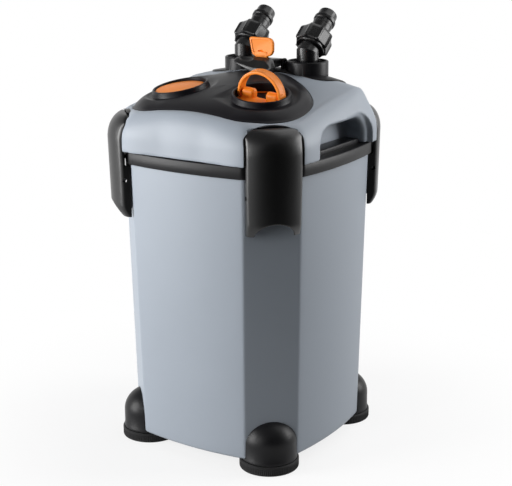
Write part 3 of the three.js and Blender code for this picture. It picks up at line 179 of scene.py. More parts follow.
def bowl(name, size, steps, sides):
    """A ball stretched to three half sizes, for carving a rounded hollow."""
    ball = lathe(name, [(0, -1), *arc(0, 0, 1, -90, 90, steps - 1)[1:-1], (0, 1)], sides)
    ball.data.transform(Matrix.Diagonal((*size, 1)))
    return ball


def arc(cx, cy, radius, start, end, steps):
    """Points of an arc, angles in degrees."""
    span = [math.radians(start + (end - start) * i / steps) for i in range(steps + 1)]
    return [(cx + radius * math.cos(a), cy + radius * math.sin(a)) for a in span]


def place(piece, *steps):
    """Applies matrices to the mesh itself, first one first; their translations are in millimetres."""
    for step in steps:
        metric = step.copy()
        metric.translation = step.translation * MM
        piece.data.transform(metric)
    return piece


def shift(x=0.0, y=0.0, z=0.0):
    return Matrix.Translation((x, y, z))


def spin(degrees, axis="Z"):
    return Matrix.Rotation(math.radians(degrees), 4, axis)


def settle(piece):
    """Applies a piece's modifiers."""
    graph = bpy.context.evaluated_depsgraph_get()
    mesh = bpy.data.meshes.new_from_object(piece.evaluated_get(graph))
    old = piece.data
    piece.modifiers.clear()
    piece.data = mesh
    bpy.data.meshes.remove(old)
    mesh.name = piece.name
    if not mesh.polygons:
        raise RuntimeError(f"{piece.name} has lost its faces")
    return piece


def combine(piece, operation, *others):
    for other in others:
        change = piece.modifiers.new("combine", "BOOLEAN")
        change.operation, change.object, change.solver = operation, other, "MANIFOLD"
        settle(piece)
        drop(other)
    return piece


def carve(piece, *others):
    return combine(piece, "DIFFERENCE", *others)


def weld(piece, *others):
    return combine(piece, "UNION", *others)


def drop(piece):
    mesh = piece.data
    bpy.data.objects.remove(piece)
    bpy.data.meshes.remove(mesh)


def soften(piece, voxel, passes):
    """Remeshes a piece evenly and smooths it, so that its edges turn round like a moulding's."""
    remesh = piece.modifiers.new("even", "REMESH")
    remesh.mode, remesh.voxel_size = "VOXEL", voxel * MM
    relax = piece.modifiers.new("relax", "SMOOTH")
    relax.factor, relax.iterations = 0.5, passes
    return settle(piece)


def bevel(piece, width, segments=3, angle=32):
    edge = piece.modifiers.new("edge", "BEVEL")
    edge.width, edge.segments = width * MM, segments
    edge.limit_method, edge.angle_limit = "ANGLE", math.radians(angle)
    edge.miter_outer = "MITER_ARC"
    return settle(piece)


def dress(piece, nodes=(), body="filter_body", slot="black_shell", finish=None, angle=38):
    """Shades a piece, gives it its finish, and says what it rides on and stands for."""
    for face in piece.data.polygons:
        face.use_smooth = True
    piece.data.set_sharp_from_angle(angle=math.radians(angle))
    piece.data.materials.clear()
    piece.data.materials.append(FINISHES[finish or slot])
    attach(piece, body)
    if nodes:
        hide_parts(*nodes)


def copy_piece(piece, name, *steps):
    twin = bpy.data.objects.new(name, piece.data.copy())
    twin.data.name = name
    scene.collection.objects.link(twin)
    return place(twin, *steps)


def at_corners(piece, name, node=None, body="filter_body", **options):
    """Copies a piece made in the corner's own frame to the four corners; {} takes the corner."""
    for corner, angle in CORNERS.items():
        twin = copy_piece(piece, name.format(corner), spin(angle))
        dress(twin, [node.format(corner)] if node else [], body.format(corner), **options)
    drop(piece)


def mix(a, b, t):
    return a + (b - a) * t


def clamp(value, low=0.0, high=1.0):
    return max(low, min(high, value))


def smooth(value):
    t = clamp(value)
    return t * t * (3 - 2 * t)


def spread(start, end, count):
    return [mix(start, end, i / (count - 1)) for i in range(count)]


def towards(middle, outline, share):
    """An outline drawn in to a middle point: it keeps its size at share 1 and shrinks away at 0."""
    return [(mix(middle[0], x, share), mix(middle[1], y, share)) for x, y in outline]


# ---- finishes
# EDGE_SHEEN is how far convex edges are lightened: a painted highlight along them.
CLOUD_SCALE, GLOSS_SPREAD, EDGE_SHEEN = 7.0, 0.06, 0.12


def linear(red, green, blue):
    """A colour of the sRGB scale, 0 to 255, as the renderer's own."""
    channels = []
    for value in (red, green, blue):
        c = value / 255
        channels.append(c / 12.92 if c <= 0.04045 else ((c + 0.055) / 1.055) ** 2.4)
    return channels


def tinted(colour, factor):
    return (*[min(1.0, c * factor) for c in colour], 1.0)


def add(tree, kind, given=(), **settings):
    """A new shader node; given pairs its inputs with values or with the sockets that feed them."""
    node = tree.nodes.new("ShaderNode" + kind)
    for key, value in settings.items():
        setattr(node, key, value)
    return feed(tree, node, given)


def feed(tree, node, given):
    for key, value in dict(given).items():
        if isinstance(value, bpy.types.NodeSocket):
            tree.links.new(value, node.inputs[key])
        else:
            node.inputs[key].default_value = value
    return node


def span(tree, value, low, high, start=0.0, end=1.0, **settings):
    """Takes a value from the range start to end into the range low to high."""
    given = {"Value": value, "From Min": start, "From Max": end, "To Min": low, "To Max": high}
    return add(tree, "MapRange", given, **settings).outputs["Result"]


def finish(name, colour, rough, grain, grain_depth, cloud_depth=0.05, specular=0.5, metallic=0.0,
           stretch=(1, 1, 1)):
    """A moulded or milled finish: broad tone changes, a fine grain in bump and gloss, and a painted highlight that
    lightens convex edges.
    """
    material = bpy.data.materials.new(name)
    material.use_nodes = True
    tree, colour = material.node_tree, linear(*colour)
    where = add(tree, "Mapping", {"Vector": add(tree, "TexCoord").outputs["Object"], "Scale": stretch})
    broad, fine = (add(tree, "TexNoise", {"Vector": where.outputs["Vector"], "Scale": scale, "Detail": detail,
                                          "Roughness": 0.55}).outputs["Fac"]
                   for scale, detail in ((CLOUD_SCALE, 4.0), (grain, 3.0)))
    tone = add(tree, "Mix", {"Factor": span(tree, broad, 0.0, 1.0, 0.3, 0.7), "A": tinted(colour, 1 - cloud_depth),
                             "B": tinted(colour, 1 + cloud_depth)}, data_type="RGBA")
    # Convex edges, found by pointiness, are mixed to a lighter, greyer colour: a painted highlight along the
    # edges.
    edge_sheen = span(tree, add(tree, "NewGeometry").outputs["Pointiness"], 0.0, EDGE_SHEEN, 0.53, 0.62)
    sheen_lit = add(tree, "Mix", {"Factor": edge_sheen, "A": tone.outputs["Result"],
                               "B": tinted([mix(c, 0.5, 0.1) for c in colour], 1.15)}, data_type="RGBA")
    gloss = add(tree, "Math", {0: span(tree, broad, -GLOSS_SPREAD, GLOSS_SPREAD, 0.25, 0.75),
                               1: span(tree, fine, rough - 0.03, rough + 0.03, 0.3, 0.7)}, operation="ADD")
    bump = add(tree, "Bump", {"Height": fine, "Strength": grain_depth, "Distance": 0.0004})
    feed(tree, tree.nodes["Principled BSDF"], {
        "Base Color": sheen_lit.outputs["Result"], "Roughness": gloss.outputs["Value"],
        "Normal": bump.outputs["Normal"], "Specular IOR Level": specular, "Metallic": metallic})
    return material


# Colour, roughness, scale and depth of the grain, and what differs from a plain moulding. The last three are black
# mouldings unlike the shells: elbows, nuts and tails; latches and paddle; panel and the black plate in the cap's
# rear pocket.
FINISHES = {name: finish(name, *row, **rest) for name, row, rest in (
    ("grey_shell", ((156, 164, 174), 0.46, 1400, 0.10), {"cloud_depth": 0.025, "specular": 0.42}),
    ("black_shell", ((19, 19, 21), 0.36, 1500, 0.10), {"specular": 0.20}),
    ("rubber", ((26, 26, 27), 0.68, 1100, 0.25), {"cloud_depth": 0.1, "specular": 0.25}),
    ("orange", ((246, 138, 36), 0.42, 1200, 0.06), {"cloud_depth": 0.04, "specular": 0.30}),
    ("inner_plastic", ((62, 65, 70), 0.5, 900, 0.12), {"specular": 0.35}),
    ("foam", ((48, 54, 62), 0.95, 420, 0.9), {"cloud_depth": 0.2, "specular": 0.1}),
    ("ceramic", ((232, 228, 220), 0.22, 700, 0.03), {}),
    ("steel", ((190, 192, 196), 0.28, 900, 0.12), {"metallic": 1.0, "stretch": (1, 1, 0.05)}),
    ("gloss_black", ((14, 14, 16), 0.27, 1300, 0.03), {"specular": 0.40}),
    ("lever_black", ((13, 13, 14), 0.32, 1500, 0.08), {"specular": 0.5}),
    ("panel_black", ((22, 21, 25), 0.38, 1700, 0.12), {"specular": 0.15}),
)}

for part in frame["record"]["subparts"]:
    if part["node"] in frame["nodes"]:
        wearer = frame["nodes"][part["node"]].data.materials
        wearer.clear()
        wearer.append(FINISHES[part["material_slot"]])

# ---- camera, floor and lamps
CAMERA_AZIMUTH, CAMERA_ELEVATION, CAMERA_ROLL = 33.071, 15.677, -0.277
CAMERA_DISTANCE, TARGET_SIDE, TARGET_HEIGHT, CAMERA_LENS = 1.5455, 0.01134, 0.2409, 87.53
FLOOR_BOUNCE, FLOOR_PALE, FLOOR_GLOW, FLOOR_FADE = 0.16, 0.92, 0.80, (0.20, 0.48)
AMBIENT, SKY_OVERHEAD, SKY_FADE = 0.19, 0.25, (0.30, 0.62)
# Each soft box: its direction, distance, width, height and level
LAMPS = {
    "left_box": ((-0.66, -0.74, 0.14), 1.7, 0.9, 1.2, 1.34),
    "right_box": ((0.72, 0.60, 0.30), 1.5, 0.7, 1.0, 0.64),
    "high_box": ((0.30, 0.55, 1.0), 2.2, 2.0, 1.6, 0.34),
    "left_strip": ((-0.14, -0.98, 0.24), 1.6, 0.16, 0.8, 0.12),
    "right_strip": ((0.86, 0.52, 0.35), 1.6, 0.12, 0.6, 0.05),
}
LAMP_AIM = Vector((0, 0, 0.25))
CARD_AZIMUTH, CARD_OUT, CARD_HEIGHT, CARD_SIZE, CARD_FACING = 26, 1.05, 0.72, (1.70, 1.75, 1), (0.80, 0.60)


def make_camera():
    azimuth, elevation, roll = (math.radians(v) for v in (CAMERA_AZIMUTH, CAMERA_ELEVATION, CAMERA_ROLL))
    right = Vector((math.cos(azimuth), math.sin(azimuth), 0))
    back = Vector((math.sin(azimuth) * math.cos(elevation), -math.cos(azimuth) * math.cos(elevation),
        math.sin(elevation)))
    up = back.cross(right)
    data = bpy.data.cameras.new("camera")
    data.sensor_fit, data.sensor_width, data.lens = "HORIZONTAL", 36, CAMERA_LENS
    camera = bpy.data.objects.new("camera", data)
    level = right * math.cos(roll) + up * math.sin(roll)
    upright = -right * math.sin(roll) + up * math.cos(roll)
    turn = Matrix((level, upright, back)).transposed().to_4x4()
    turn.translation = right * TARGET_SIDE + Vector((0, 0, TARGET_HEIGHT)) + back * CAMERA_DISTANCE
    camera.matrix_world = turn
    scene.collection.objects.link(camera)
    scene.camera = camera


def either_way(tree, hidden, shown):
    """Takes the shown shader for camera, glossy and transmission rays, and the hidden one for all others."""
    path = add(tree, "LightPath")
    total = path.outputs["Is Camera Ray"]
    for name in ("Is Glossy Ray", "Is Transmission Ray"):
        total = add(tree, "Math", {0: total, 1: path.outputs[name]}, operation="MAXIMUM").outputs["Value"]
    return add(tree, "MixShader", {0: total, 1: hidden.outputs[0], 2: shown.outputs[0]}).outputs[0]


def make_world():
    """A white sky that darkens overhead, and that lights the object less than it shows."""
    scene.world = bpy.data.worlds.new("studio")
    scene.world.use_nodes = True
    tree = scene.world.node_tree
    way = add(tree, "SeparateXYZ", {0: add(tree, "TexCoord").outputs["Generated"]})
    fade = span(tree, way.outputs["Z"], 1.0, SKY_OVERHEAD, *SKY_FADE)
    shown = feed(tree, tree.nodes["Background"], {"Color": fade})
    dim = add(tree, "Background", {"Color": (1, 1, 1, 1), "Strength": AMBIENT})
    feed(tree, tree.nodes["World Output"], {"Surface": either_way(tree, dim, shown)})


def make_stage_plane(name, size):
    bpy.ops.mesh.primitive_plane_add(size=size)
    plane = bpy.context.object
    plane.name = name
    material = bpy.data.materials.new(name)
    material.use_nodes = True
    plane.data.materials.append(material)
    return plane, material.node_tree


def make_floor():
    """A pale floor that takes the object's shadow and turns white away from it."""
    _, tree = make_stage_plane("floor", 9)
    tree.nodes.remove(tree.nodes["Principled BSDF"])
    bounce, pale = (add(tree, "BsdfDiffuse", {"Color": (v, v, v, 1)}) for v in (FLOOR_BOUNCE, FLOOR_PALE))
    glow = add(tree, "Emission", {"Color": (1, 1, 1, 1)})
    reach = add(tree, "VectorMath", {0: add(tree, "TexCoord").outputs["Object"]}, operation="LENGTH")
    fade = span(tree, reach.outputs["Value"], FLOOR_GLOW, 1.0, *FLOOR_FADE, interpolation_type="SMOOTHSTEP")
    seen = add(tree, "MixShader", {0: fade, 1: pale.outputs[0], 2: glow.outputs[0]})
    feed(tree, tree.nodes["Material Output"], {"Surface": either_way(tree, bounce, seen)})


def make_lamp(name, direction, distance, width, height, level):
    """A soft box that lights a surface facing it about as brightly as level times its own colour."""
    data = bpy.data.lights.new(name, "AREA")
    data.shape, data.size, data.size_y = "RECTANGLE", width, height
    data.energy = level * math.pi ** 2 * distance ** 2
    lamp = bpy.data.objects.new(name, data)
    lamp.location = LAMP_AIM + Vector(direction).normalized() * distance
    lamp.rotation_euler = (LAMP_AIM - lamp.location).to_track_quat("-Z", "Y").to_euler()
    scene.collection.objects.link(lamp)


def make_card():
    """A dark card to the right of the camera: the unlit side of the studio. It is hidden from the camera only."""
    azimuth = math.radians(CAMERA_AZIMUTH + CARD_AZIMUTH)
    out = Vector((math.sin(azimuth), -math.cos(azimuth), 0))
    card, tree = make_stage_plane("dark_card", 1)
    card.location = out * CARD_OUT + Vector((0, 0, CARD_HEIGHT))
    facing = -out * CARD_FACING[0] + Vector((0, 0, CARD_FACING[1]))
    card.rotation_euler = facing.to_track_quat("Z", "Y").to_euler()
    card.scale = CARD_SIZE
    card.visible_camera = False
    tree.nodes["Principled BSDF"].inputs["Base Color"].default_value = (0.01, 0.01, 0.01, 1)


make_camera()
make_world()
make_floor()
for lamp_name, lamp in LAMPS.items():
    make_lamp(lamp_name, *lamp)
make_card()


# ---- the square outline
def bezier(a, b, c, t):
    return tuple((1 - t) ** 2 * p + 2 * t * (1 - t) * q + t * t * r for p, q, r in zip(a, b, c))


def square_outline(half, corner_cut, edge, steps=20, edge_steps=4):
    """A square with its corners cut off, its sides bowed outwards and its edges eased."""
    reach = half - corner_cut
    flat = reach - edge
    face = [(half + SIDE_BOW * (1 - (y / reach) ** 2), y) for y in spread(-flat, flat, steps + 1)]
    tip = (half - edge * math.sqrt(0.5), reach + edge * math.sqrt(0.5))
    ease = [bezier(face[-1], (half, reach), tip, i / edge_steps) for i in range(1, edge_steps + 1)]
    side = [(x, -y) for x, y in reversed(ease)] + face + ease
    points = []
    for _ in CORNERS:
        points += side
        side = [(-y, x) for x, y in side]
    return points


def tub_size(z):
    t = clamp((z - TUB_BOTTOM) / (BAND_BOTTOM - TUB_BOTTOM))
    return mix(TUB_BOTTOM_HALF, TUB_TOP_HALF, t), mix(TUB_BOTTOM_CUT, TUB_TOP_CUT, t)


def tub_ring(z, inset=0.0, height=None):
    half, corner_cut = tub_size(z)
    outline = square_outline(half - inset, corner_cut - (2 - math.sqrt(2)) * inset, TUB_EDGE)
    return [(x, y, z if height is None else height) for x, y in outline]


def corner_distance(z):
    half, corner_cut = tub_size(z)
    return (2 * half - corner_cut) * math.sqrt(0.5)


BAND_CORNER = corner_distance(BAND_BOTTOM)
COVER_CORNER = BAND_CORNER + COVER_CORNER_PROUD


# ---- canister and feet
def make_canister():
    foot_round = [tub_ring(TUB_BOTTOM + 3.6 * (1 - math.cos(a)), 3.2 * (1 - math.sin(a)))
        for a in spread(0, math.pi / 2, 7)]
    wall = [tub_ring(z) for z in spread(TUB_BOTTOM + 12, BAND_BOTTOM, 9)]
    tub = loft("tub", [*foot_round, *wall, tub_ring(RIM_TOP - 1), tub_ring(RIM_TOP, 0.6)])
    room = loft("room", [tub_ring(z, TUB_WALL) for z in (TUB_BOTTOM + TUB_FLOOR, 120, 240, BAND_BOTTOM)]
        + [tub_ring(RIM_TOP + 5, TUB_WALL)])
    carve(tub, room)
    back = corner_distance(ANCHOR_Z) - TUB_WALL / 2
    ear = [(back, ANCHOR_Z - 9), *arc(ANCHOR_OUT, ANCHOR_Z, 3.2, -90, 90, 8), (back, ANCHOR_Z + 8)]
    for near in (17.0, -20.2):
        lug = bevel(along_y("lug", ear, near, near + 3.2), 0.6, 2)
        carve(lug, place(lathe("bore", [(0, -60), (2.1, -60), (2.1, 60), (0, 60)], 24), spin(90, "X"),
            shift(ANCHOR_OUT, 0, ANCHOR_Z)))
        for angle in CORNERS.values():
            weld(tub, copy_piece(lug, "lug_copy", spin(angle)))
        drop(lug)
    dress(tub, ["canister"], slot="grey_shell", angle=25)


def make_feet():
    dome = [(FOOT_RADIUS * math.cos(a), 33 + 29 * math.sin(a)) for a in spread(0, math.pi / 2, 15)]
    dome[-1] = (0, 62)
    low = PAD_HEIGHT + 0.3
    foot = lathe("foot", [(0, low), (FOOT_RADIUS - 0.6, low), (FOOT_RADIUS + 0.5, low + 0.7),
        (FOOT_RADIUS + 0.6, low + 2.6), (FOOT_RADIUS, low + 3.6), *dome], 96)
    room = loft("room", [tub_ring(TUB_BOTTOM, 3.2 - 0.3, height=TUB_BOTTOM - 0.3),
        tub_ring(TUB_BOTTOM + 1.2, 0.7), tub_ring(TUB_BOTTOM + 3.6, -0.3), tub_ring(BAND_BOTTOM, -0.3)])
    carve(foot, place(room, spin(-45), shift(-FOOT_OUT)))
    at_corners(place(foot, shift(FOOT_OUT)), "foot_shell_{}", "foot_{}")

    def ribs(angle, radius, height):
        return 0.28 * math.cos(96 * angle) if radius > 30 and 1.6 < height < PAD_HEIGHT - 2.6 else 0

    side = [(PAD_RADIUS - 0.3, z) for z in (1.8, 3.5, 6, PAD_HEIGHT - 3.2)]
    pad = lathe("pad", [(0, 0), (PAD_RADIUS - 1.3, 0), (PAD_RADIUS - 0.3, 0.5), (PAD_RADIUS, 1.4), *side,
        (PAD_RADIUS, PAD_HEIGHT - 2.4), (PAD_RADIUS - 0.1, PAD_HEIGHT - 1.2), (PAD_RADIUS - 1.4, PAD_HEIGHT),
        (0, PAD_HEIGHT)], 384, ribs)
    at_corners(place(pad, shift(FOOT_OUT)), "foot_tread_{}", "foot_pad_{}", slot="rubber")


# ---- head base, with its band
def make_head_base():
    levels = ((BAND_BOTTOM, -2.9), (BAND_BOTTOM + 0.3, -3.4), (BAND_BOTTOM + 1, -BAND_PROUD),
        (BAND_TOP - 1.6, -BAND_PROUD), (BAND_TOP - 0.6, -3.3), (BAND_TOP, -2.5))
    base = loft("band", [tub_ring(z, inset) for z, inset in levels])
    carve(base, loft("bore", [tub_ring(BAND_BOTTOM - 5, -0.4), tub_ring(BASE_PLATE, -0.4)]))
    skirt = loft("skirt", [tub_ring(BASE_PLATE - 24, 4), tub_ring(BAND_TOP - 1, 4)])
    carve(skirt, loft("skirt_bore", [tub_ring(BASE_PLATE - 28, 7), tub_ring(BASE_PLATE, 7)]))
    weld(base, skirt, rod("volute", 36, 349.6, 366.6, 0, 6))
    carve(base, rod("volute_room", 33, 348.6, BASE_PLATE, 0, 6), rod("rotor_hole", 13, 360, 375, 0, 6))
    for side in SIDES.values():
        carve(base, rod("pipe_hole", 13.4, 360, 375, side * TAP_X, TAP_Y))
        x0, x1 = sorted((side * (HANDLE_INNER + 0.3), side * 121.5))
        step = block("step", x0, x1, HANDLE_SHIFT - 52.9, HANDLE_SHIFT + 52.9, BAND_TOP - 1, 375.4)
        weld(base, bevel(step, 1.4, 4))
    dress(base, ["head_base"], angle=30)


# ---- head cover
def crown(x, y):
    rear = max(0, y - 50)
    return 442.4 + 0.171 * y - 0.001227 * x * x - 0.0093 * rear * rear


def on_crown(outline, lift, rise=0.0):
    """An outline laid on the crown, lifted off it."""
    return [(x, y, crown(x, y) + lift + rise) for x, y in outline]


def shoulder_depth(x, y):
    facing = 1 - abs(math.sin(2 * math.atan2(y, x))) ** 3
    way = "side" if abs(y) <= abs(x) else "rear" if y > 0 else "front"
    return mix(SHOULDERS["corner"], SHOULDERS[way], facing)


def drawn_in(x, y, by):
    share = 1 - by / math.hypot(x, y)
    return x * share, y * share


def flared(x, y, z):
    """The cover swells at its corners, to stand round the latches that lie in them."""
    if z > SHOULDER_START + 42:
        return x, y, z
    way = math.radians(round((math.degrees(math.atan2(y, x)) - 45) / 90) * 90 + 45)
    out = x * math.cos(way) + y * math.sin(way)
    across = abs(-x * math.sin(way) + y * math.cos(way))
    by = FLARE * (1 - smooth((across - 37) / 46)) * (1 - smooth((z - SHOULDER_START - 4) / 38))
    by *= clamp((out - 100) / 20)
    return x + by * math.cos(way), y + by * math.sin(way), z


def cover_rings(inset, corner_inset, sink, bottom, steps=30, arc_steps=16, flare=True):
    half = TUB_TOP_HALF - inset
    reach = BAND_CORNER - corner_inset
    outline = square_outline(half, 2 * half - math.sqrt(2) * reach, COVER_EDGE, steps, 6)
    rings = [[(x, y, bottom) for x, y in outline]]
    for a in spread(0, math.pi / 2, arc_steps + 1):
        ring = []
        for x, y in outline:
            depth = shoulder_depth(x, y)
            top = crown(*drawn_in(x, y, depth)) - sink
            px, py = drawn_in(x, y, depth * (1 - math.cos(a)))
            ring.append((px, py, SHOULDER_START + (top - SHOULDER_START) * math.sin(a)))
        rings.append(ring)
    edge = rings[-1]
    for share in (0.9, 0.78, 0.65, 0.5, 0.35, 0.2, 0.08):
        rings.append([(x * share, y * share, crown(x * share, y * share) - sink) for x, y, _ in edge])
    if flare:
        rings = [[flared(*point) for point in ring] for ring in rings]
    return rings


def opening_outline(grow):
    half, top, radius = HANDLE_HALF + grow, HANDLE_TOP + grow, HANDLE_RADIUS + grow
    low = BAND_TOP - 8
    sides = [(half, z) for z in spread(low, top - radius, 6)[:-1]]
    crest = spread(half - radius, radius - half, 14)[1:-1]
    return [*sides, *arc(half - radius, top - radius, radius, 0, 90, 12), *[(y, top) for y in crest],
        *arc(radius - half, top - radius, radius, 90, 180, 12), *[(-y, z) for y, z in reversed(sides)]]


def handle_opening(name, side, grow=0.0, flare=0.0):
    """The hand recess as a solid; its mouth flares out in a rounded lip that follows the cover's side."""
    reach = TUB_TOP_HALF - TUB_TOP_CUT
    stations = [(None, 0.0)]
    if flare:
        stations += [(flare * (1 - math.sin(a)), flare * (1 - math.cos(a))) for a in spread(0, math.pi / 2, 8)]
    stations.append((-14.0, flare * 1.6) if flare else (-4.0, 0.0))
    rings = []
    for depth, spare in stations:
        ring = []
        for y, z in opening_outline(grow + spare):
            rise = max(0.0, z - SHOULDER_START)
            y += HANDLE_SHIFT
            surface = TUB_TOP_HALF + COVER_PROUD + SIDE_BOW * (1 - (y / reach) ** 2) - rise * rise * 0.0041
            x = HANDLE_INNER - grow if depth is None else surface - depth
            ring.append((side * x, y, z))
        rings.append(ring)
    return loft(name, rings)


def crown_slab(name, outline, low, high, centre):
    """A solid over an outline whose underside and top follow the crown."""
    shares = (0.02, 0.2, 0.4, 0.6, 0.8, 0.92)
    rings = []
    for share in (*shares, 1, 1, *reversed(shares)):
        lift = low if len(rings) <= len(shares) else high
        rings.append(on_crown(towards(centre, outline, share), lift))
    return loft(name, rings)


def hook_block(name):
    """The solid that backs the latch recess at a corner of the cover."""
    return block(name, COVER_CORNER - 16, COVER_CORNER + 5, -37, 37, COVER_BOTTOM, 419)


def hook_pocket(name):
    half = HOOK_HALF + 1.5
    inner = [bezier((HOOK_OUT, half), (HOOK_OUT - 5, 0), (HOOK_OUT, -half), t) for t in spread(0, 1, 12)]
    return prism(name, [*inner, (HOOK_OUT + 40, -half), (HOOK_OUT + 40, half)], HOOK_LEDGE, LEVER_TOP + 0.8)


def latch_recess(name, inset=0.0):
    """The recess that a latch crown lies in: its outline keeps an even gap from the lever's."""
    side, low = LEVER_HALF + 2.3 - inset, COVER_BOTTOM - 2
    crest = [(side * math.cos(a), 398 + (16.0 - inset) * math.sin(a)) for a in spread(0, math.pi, 33)]
    outline = [(side, low), (side, 391), *crest, (-side, 391), (-side, low)]
    return loft(name, [[(out + inset - 4.4 * smooth((z - 403) / 7), t, z) for t, z in outline]
        for out in (HOOK_OUT + 0.1, HOOK_OUT + 30)])


def hook_ledge(name, grow=0.0):
    half = HOOK_HALF + grow
    return block(name, COVER_CORNER - 14, COVER_CORNER + grow, -half, half, COVER_BOTTOM - grow, HOOK_LEDGE + grow)


def make_head_cover():
    cover = loft("cover", cover_rings(-COVER_PROUD, -COVER_CORNER_PROUD, 0, COVER_BOTTOM))
    for side in SIDES.values():
        carve(cover, handle_opening("opening", side, flare=7.5))
    soften(cover, 1.5, 4)
    # Each latch recess gets a thin black shell over its walls: painted shade on the grey cover.
    recess_shade = loft("recess_shade", cover_rings(0.5 - COVER_PROUD, 0.5 - COVER_CORNER_PROUD, 0.6, COVER_BOTTOM + 0.4,
        12, 10))
    combine(place(recess_shade, spin(-45)), "INTERSECT", latch_recess("fill", 0.1))
    carve(recess_shade, latch_recess("hollow", 1.1), bevel(hook_ledge("ledge", 0.1), 0.8), hook_pocket("pocket"))
    at_corners(recess_shade, "latch_recess_shade_{}")
    for angle in CORNERS.values():
        carve(cover, place(latch_recess("recess"), spin(angle)))
        weld(cover, place(bevel(hook_ledge("ledge"), 0.8), spin(angle)))
        carve(cover, place(hook_pocket("pocket"), spin(angle)))
    room = loft("room", cover_rings(COVER_WALL - COVER_PROUD, COVER_WALL - COVER_CORNER_PROUD, COVER_WALL,
        COVER_BOTTOM - 3, 8, 5, flare=False))
    for side in SIDES.values():
        carve(room, handle_opening("pocket_wall", side, grow=COVER_WALL))
    for angle in CORNERS.values():
        carve(room, place(hook_block("hook_block"), spin(angle)))
    carve(room, crown_slab("ledge", panel_outline(3), -6, 20, PANEL_MIDDLE),
        crown_slab("tap_ledge", tap_outline(COVER_WALL), -6.2, 20, TAP_MIDDLE))
    carve(cover, room)
    carve(cover, crown_slab("panel_seat", panel_outline(0.35), -2.4, 40, PANEL_MIDDLE),
        prism("panel_hole", panel_outline(-7), 372, 490),
        crown_slab("tap_seat", tap_outline(0.35), -2.9, 40, TAP_MIDDLE))
    for side in SIDES.values():
        carve(cover, rod("post_room", 26, tap_post_bottom() - 0.3, 480, side * TAP_X, TAP_Y),
            rod("pipe_room", 21.7, 400, 480, side * TAP_X, TAP_Y))
    carve(cover, place(rod("gland_hole", 4.1, 0, 60), spin(-90, "X"), shift(0, 90, GLAND_Z)))
    dress(cover, ["head_cover"], slot="grey_shell", angle=34)


# ---- top panel
PANEL_HALF = ((0, -115.2), (34, -116.6), (65, -117), (83, -108), (99, -94), (109, -76), (112, -53), (108, -28),
    (101, -12), (87, 4), (68, 19), (39, 35), (12, 42))


def catmull(points, count):
    """A closed centripetal Catmull-Rom curve, as the CAD source draws it."""
    total, curve = len(points), []
    for i in range(count):
        start = total * i // count
        t = total * i / count - start
        p = [Vector(points[(start + k - 1) % total]) for k in range(4)]
        d = [math.sqrt((p[k + 1] - p[k]).length) for k in range(3)]
        ahead = ((p[1] - p[0]) / d[0] - (p[2] - p[0]) / (d[0] + d[1]) + (p[2] - p[1]) / d[1]) * d[1]
        after = ((p[2] - p[1]) / d[1] - (p[3] - p[1]) / (d[1] + d[2]) + (p[3] - p[2]) / d[2]) * d[1]
        curve.append(p[1] + ahead * t + (3 * (p[2] - p[1]) - 2 * ahead - after) * t * t
            + (2 * (p[1] - p[2]) + ahead + after) * t ** 3)
    return curve


def panel_outline(grow=0.0, count=240):
    points = [*PANEL_HALF, *[(-x, y) for x, y in reversed(PANEL_HALF[1:])]]
    curve = catmull(points, count)
    outline = []
    for i, p in enumerate(curve):
        along = (curve[(i + 1) % count] - curve[i - 1]).normalized()
        outline.append((p.x + along.y * grow, p.y - along.x * grow))
    return outline


def control_matrix(side):
    normal = Vector((side * SLOPE_X, -SLOPE_Y, 1)).normalized()
    across = (Vector((1, 0, 0)) - normal * normal.x).normalized()
    turn = Matrix((across, normal.cross(across), normal)).transposed().to_4x4()
    turn.translation = (side * CONTROL.x, CONTROL.y, CONTROL.z)
    return turn


# Around each control lies a sunken moat with pointed ears: way in degrees, reach and width of each ear
MOAT_EARS = {-1: ((88, 36, 17), (-40, -4, 40)), 1: ((-149, 20, 15), (100, 22, 22), (180, -4, 40))}
MOAT_SINK, MOAT_START, MOAT_END = 7.0, 37.0, 46.0


def moat(side, x, y):
    """How far a point lies in the moat of a control, and the height of the moat's floor there."""
    dx, dy = x - side * CONTROL.x, y - CONTROL.y
    floor = CONTROL.z - side * SLOPE_X * dx + SLOPE_Y * dy - MOAT_SINK
    way, reach = math.degrees(math.atan2(dy, dx)), math.hypot(dx, dy)
    end = MOAT_END
    for ear, length, width in MOAT_EARS[side]:
        off = abs((way - ear + 180) % 360 - 180)
        end += length * math.exp(-off / width)
    return 1 - smooth((reach - MOAT_START) / (end - MOAT_START)), floor


def panel_height(x, y, rim):
    """The panel's surface; rim is the distance from its outline."""
    height = crown(x, y) + 1.0 + 7.0 * (1 - math.exp(-rim / 20))
    height += 5.5 * smooth((abs(x) - 50) / 40) * (1 - math.exp(-rim / 6))
    for side in (-1, 1):
        share, floor = moat(side, x, y)
        height = mix(height, min(height, floor), share)
    return height


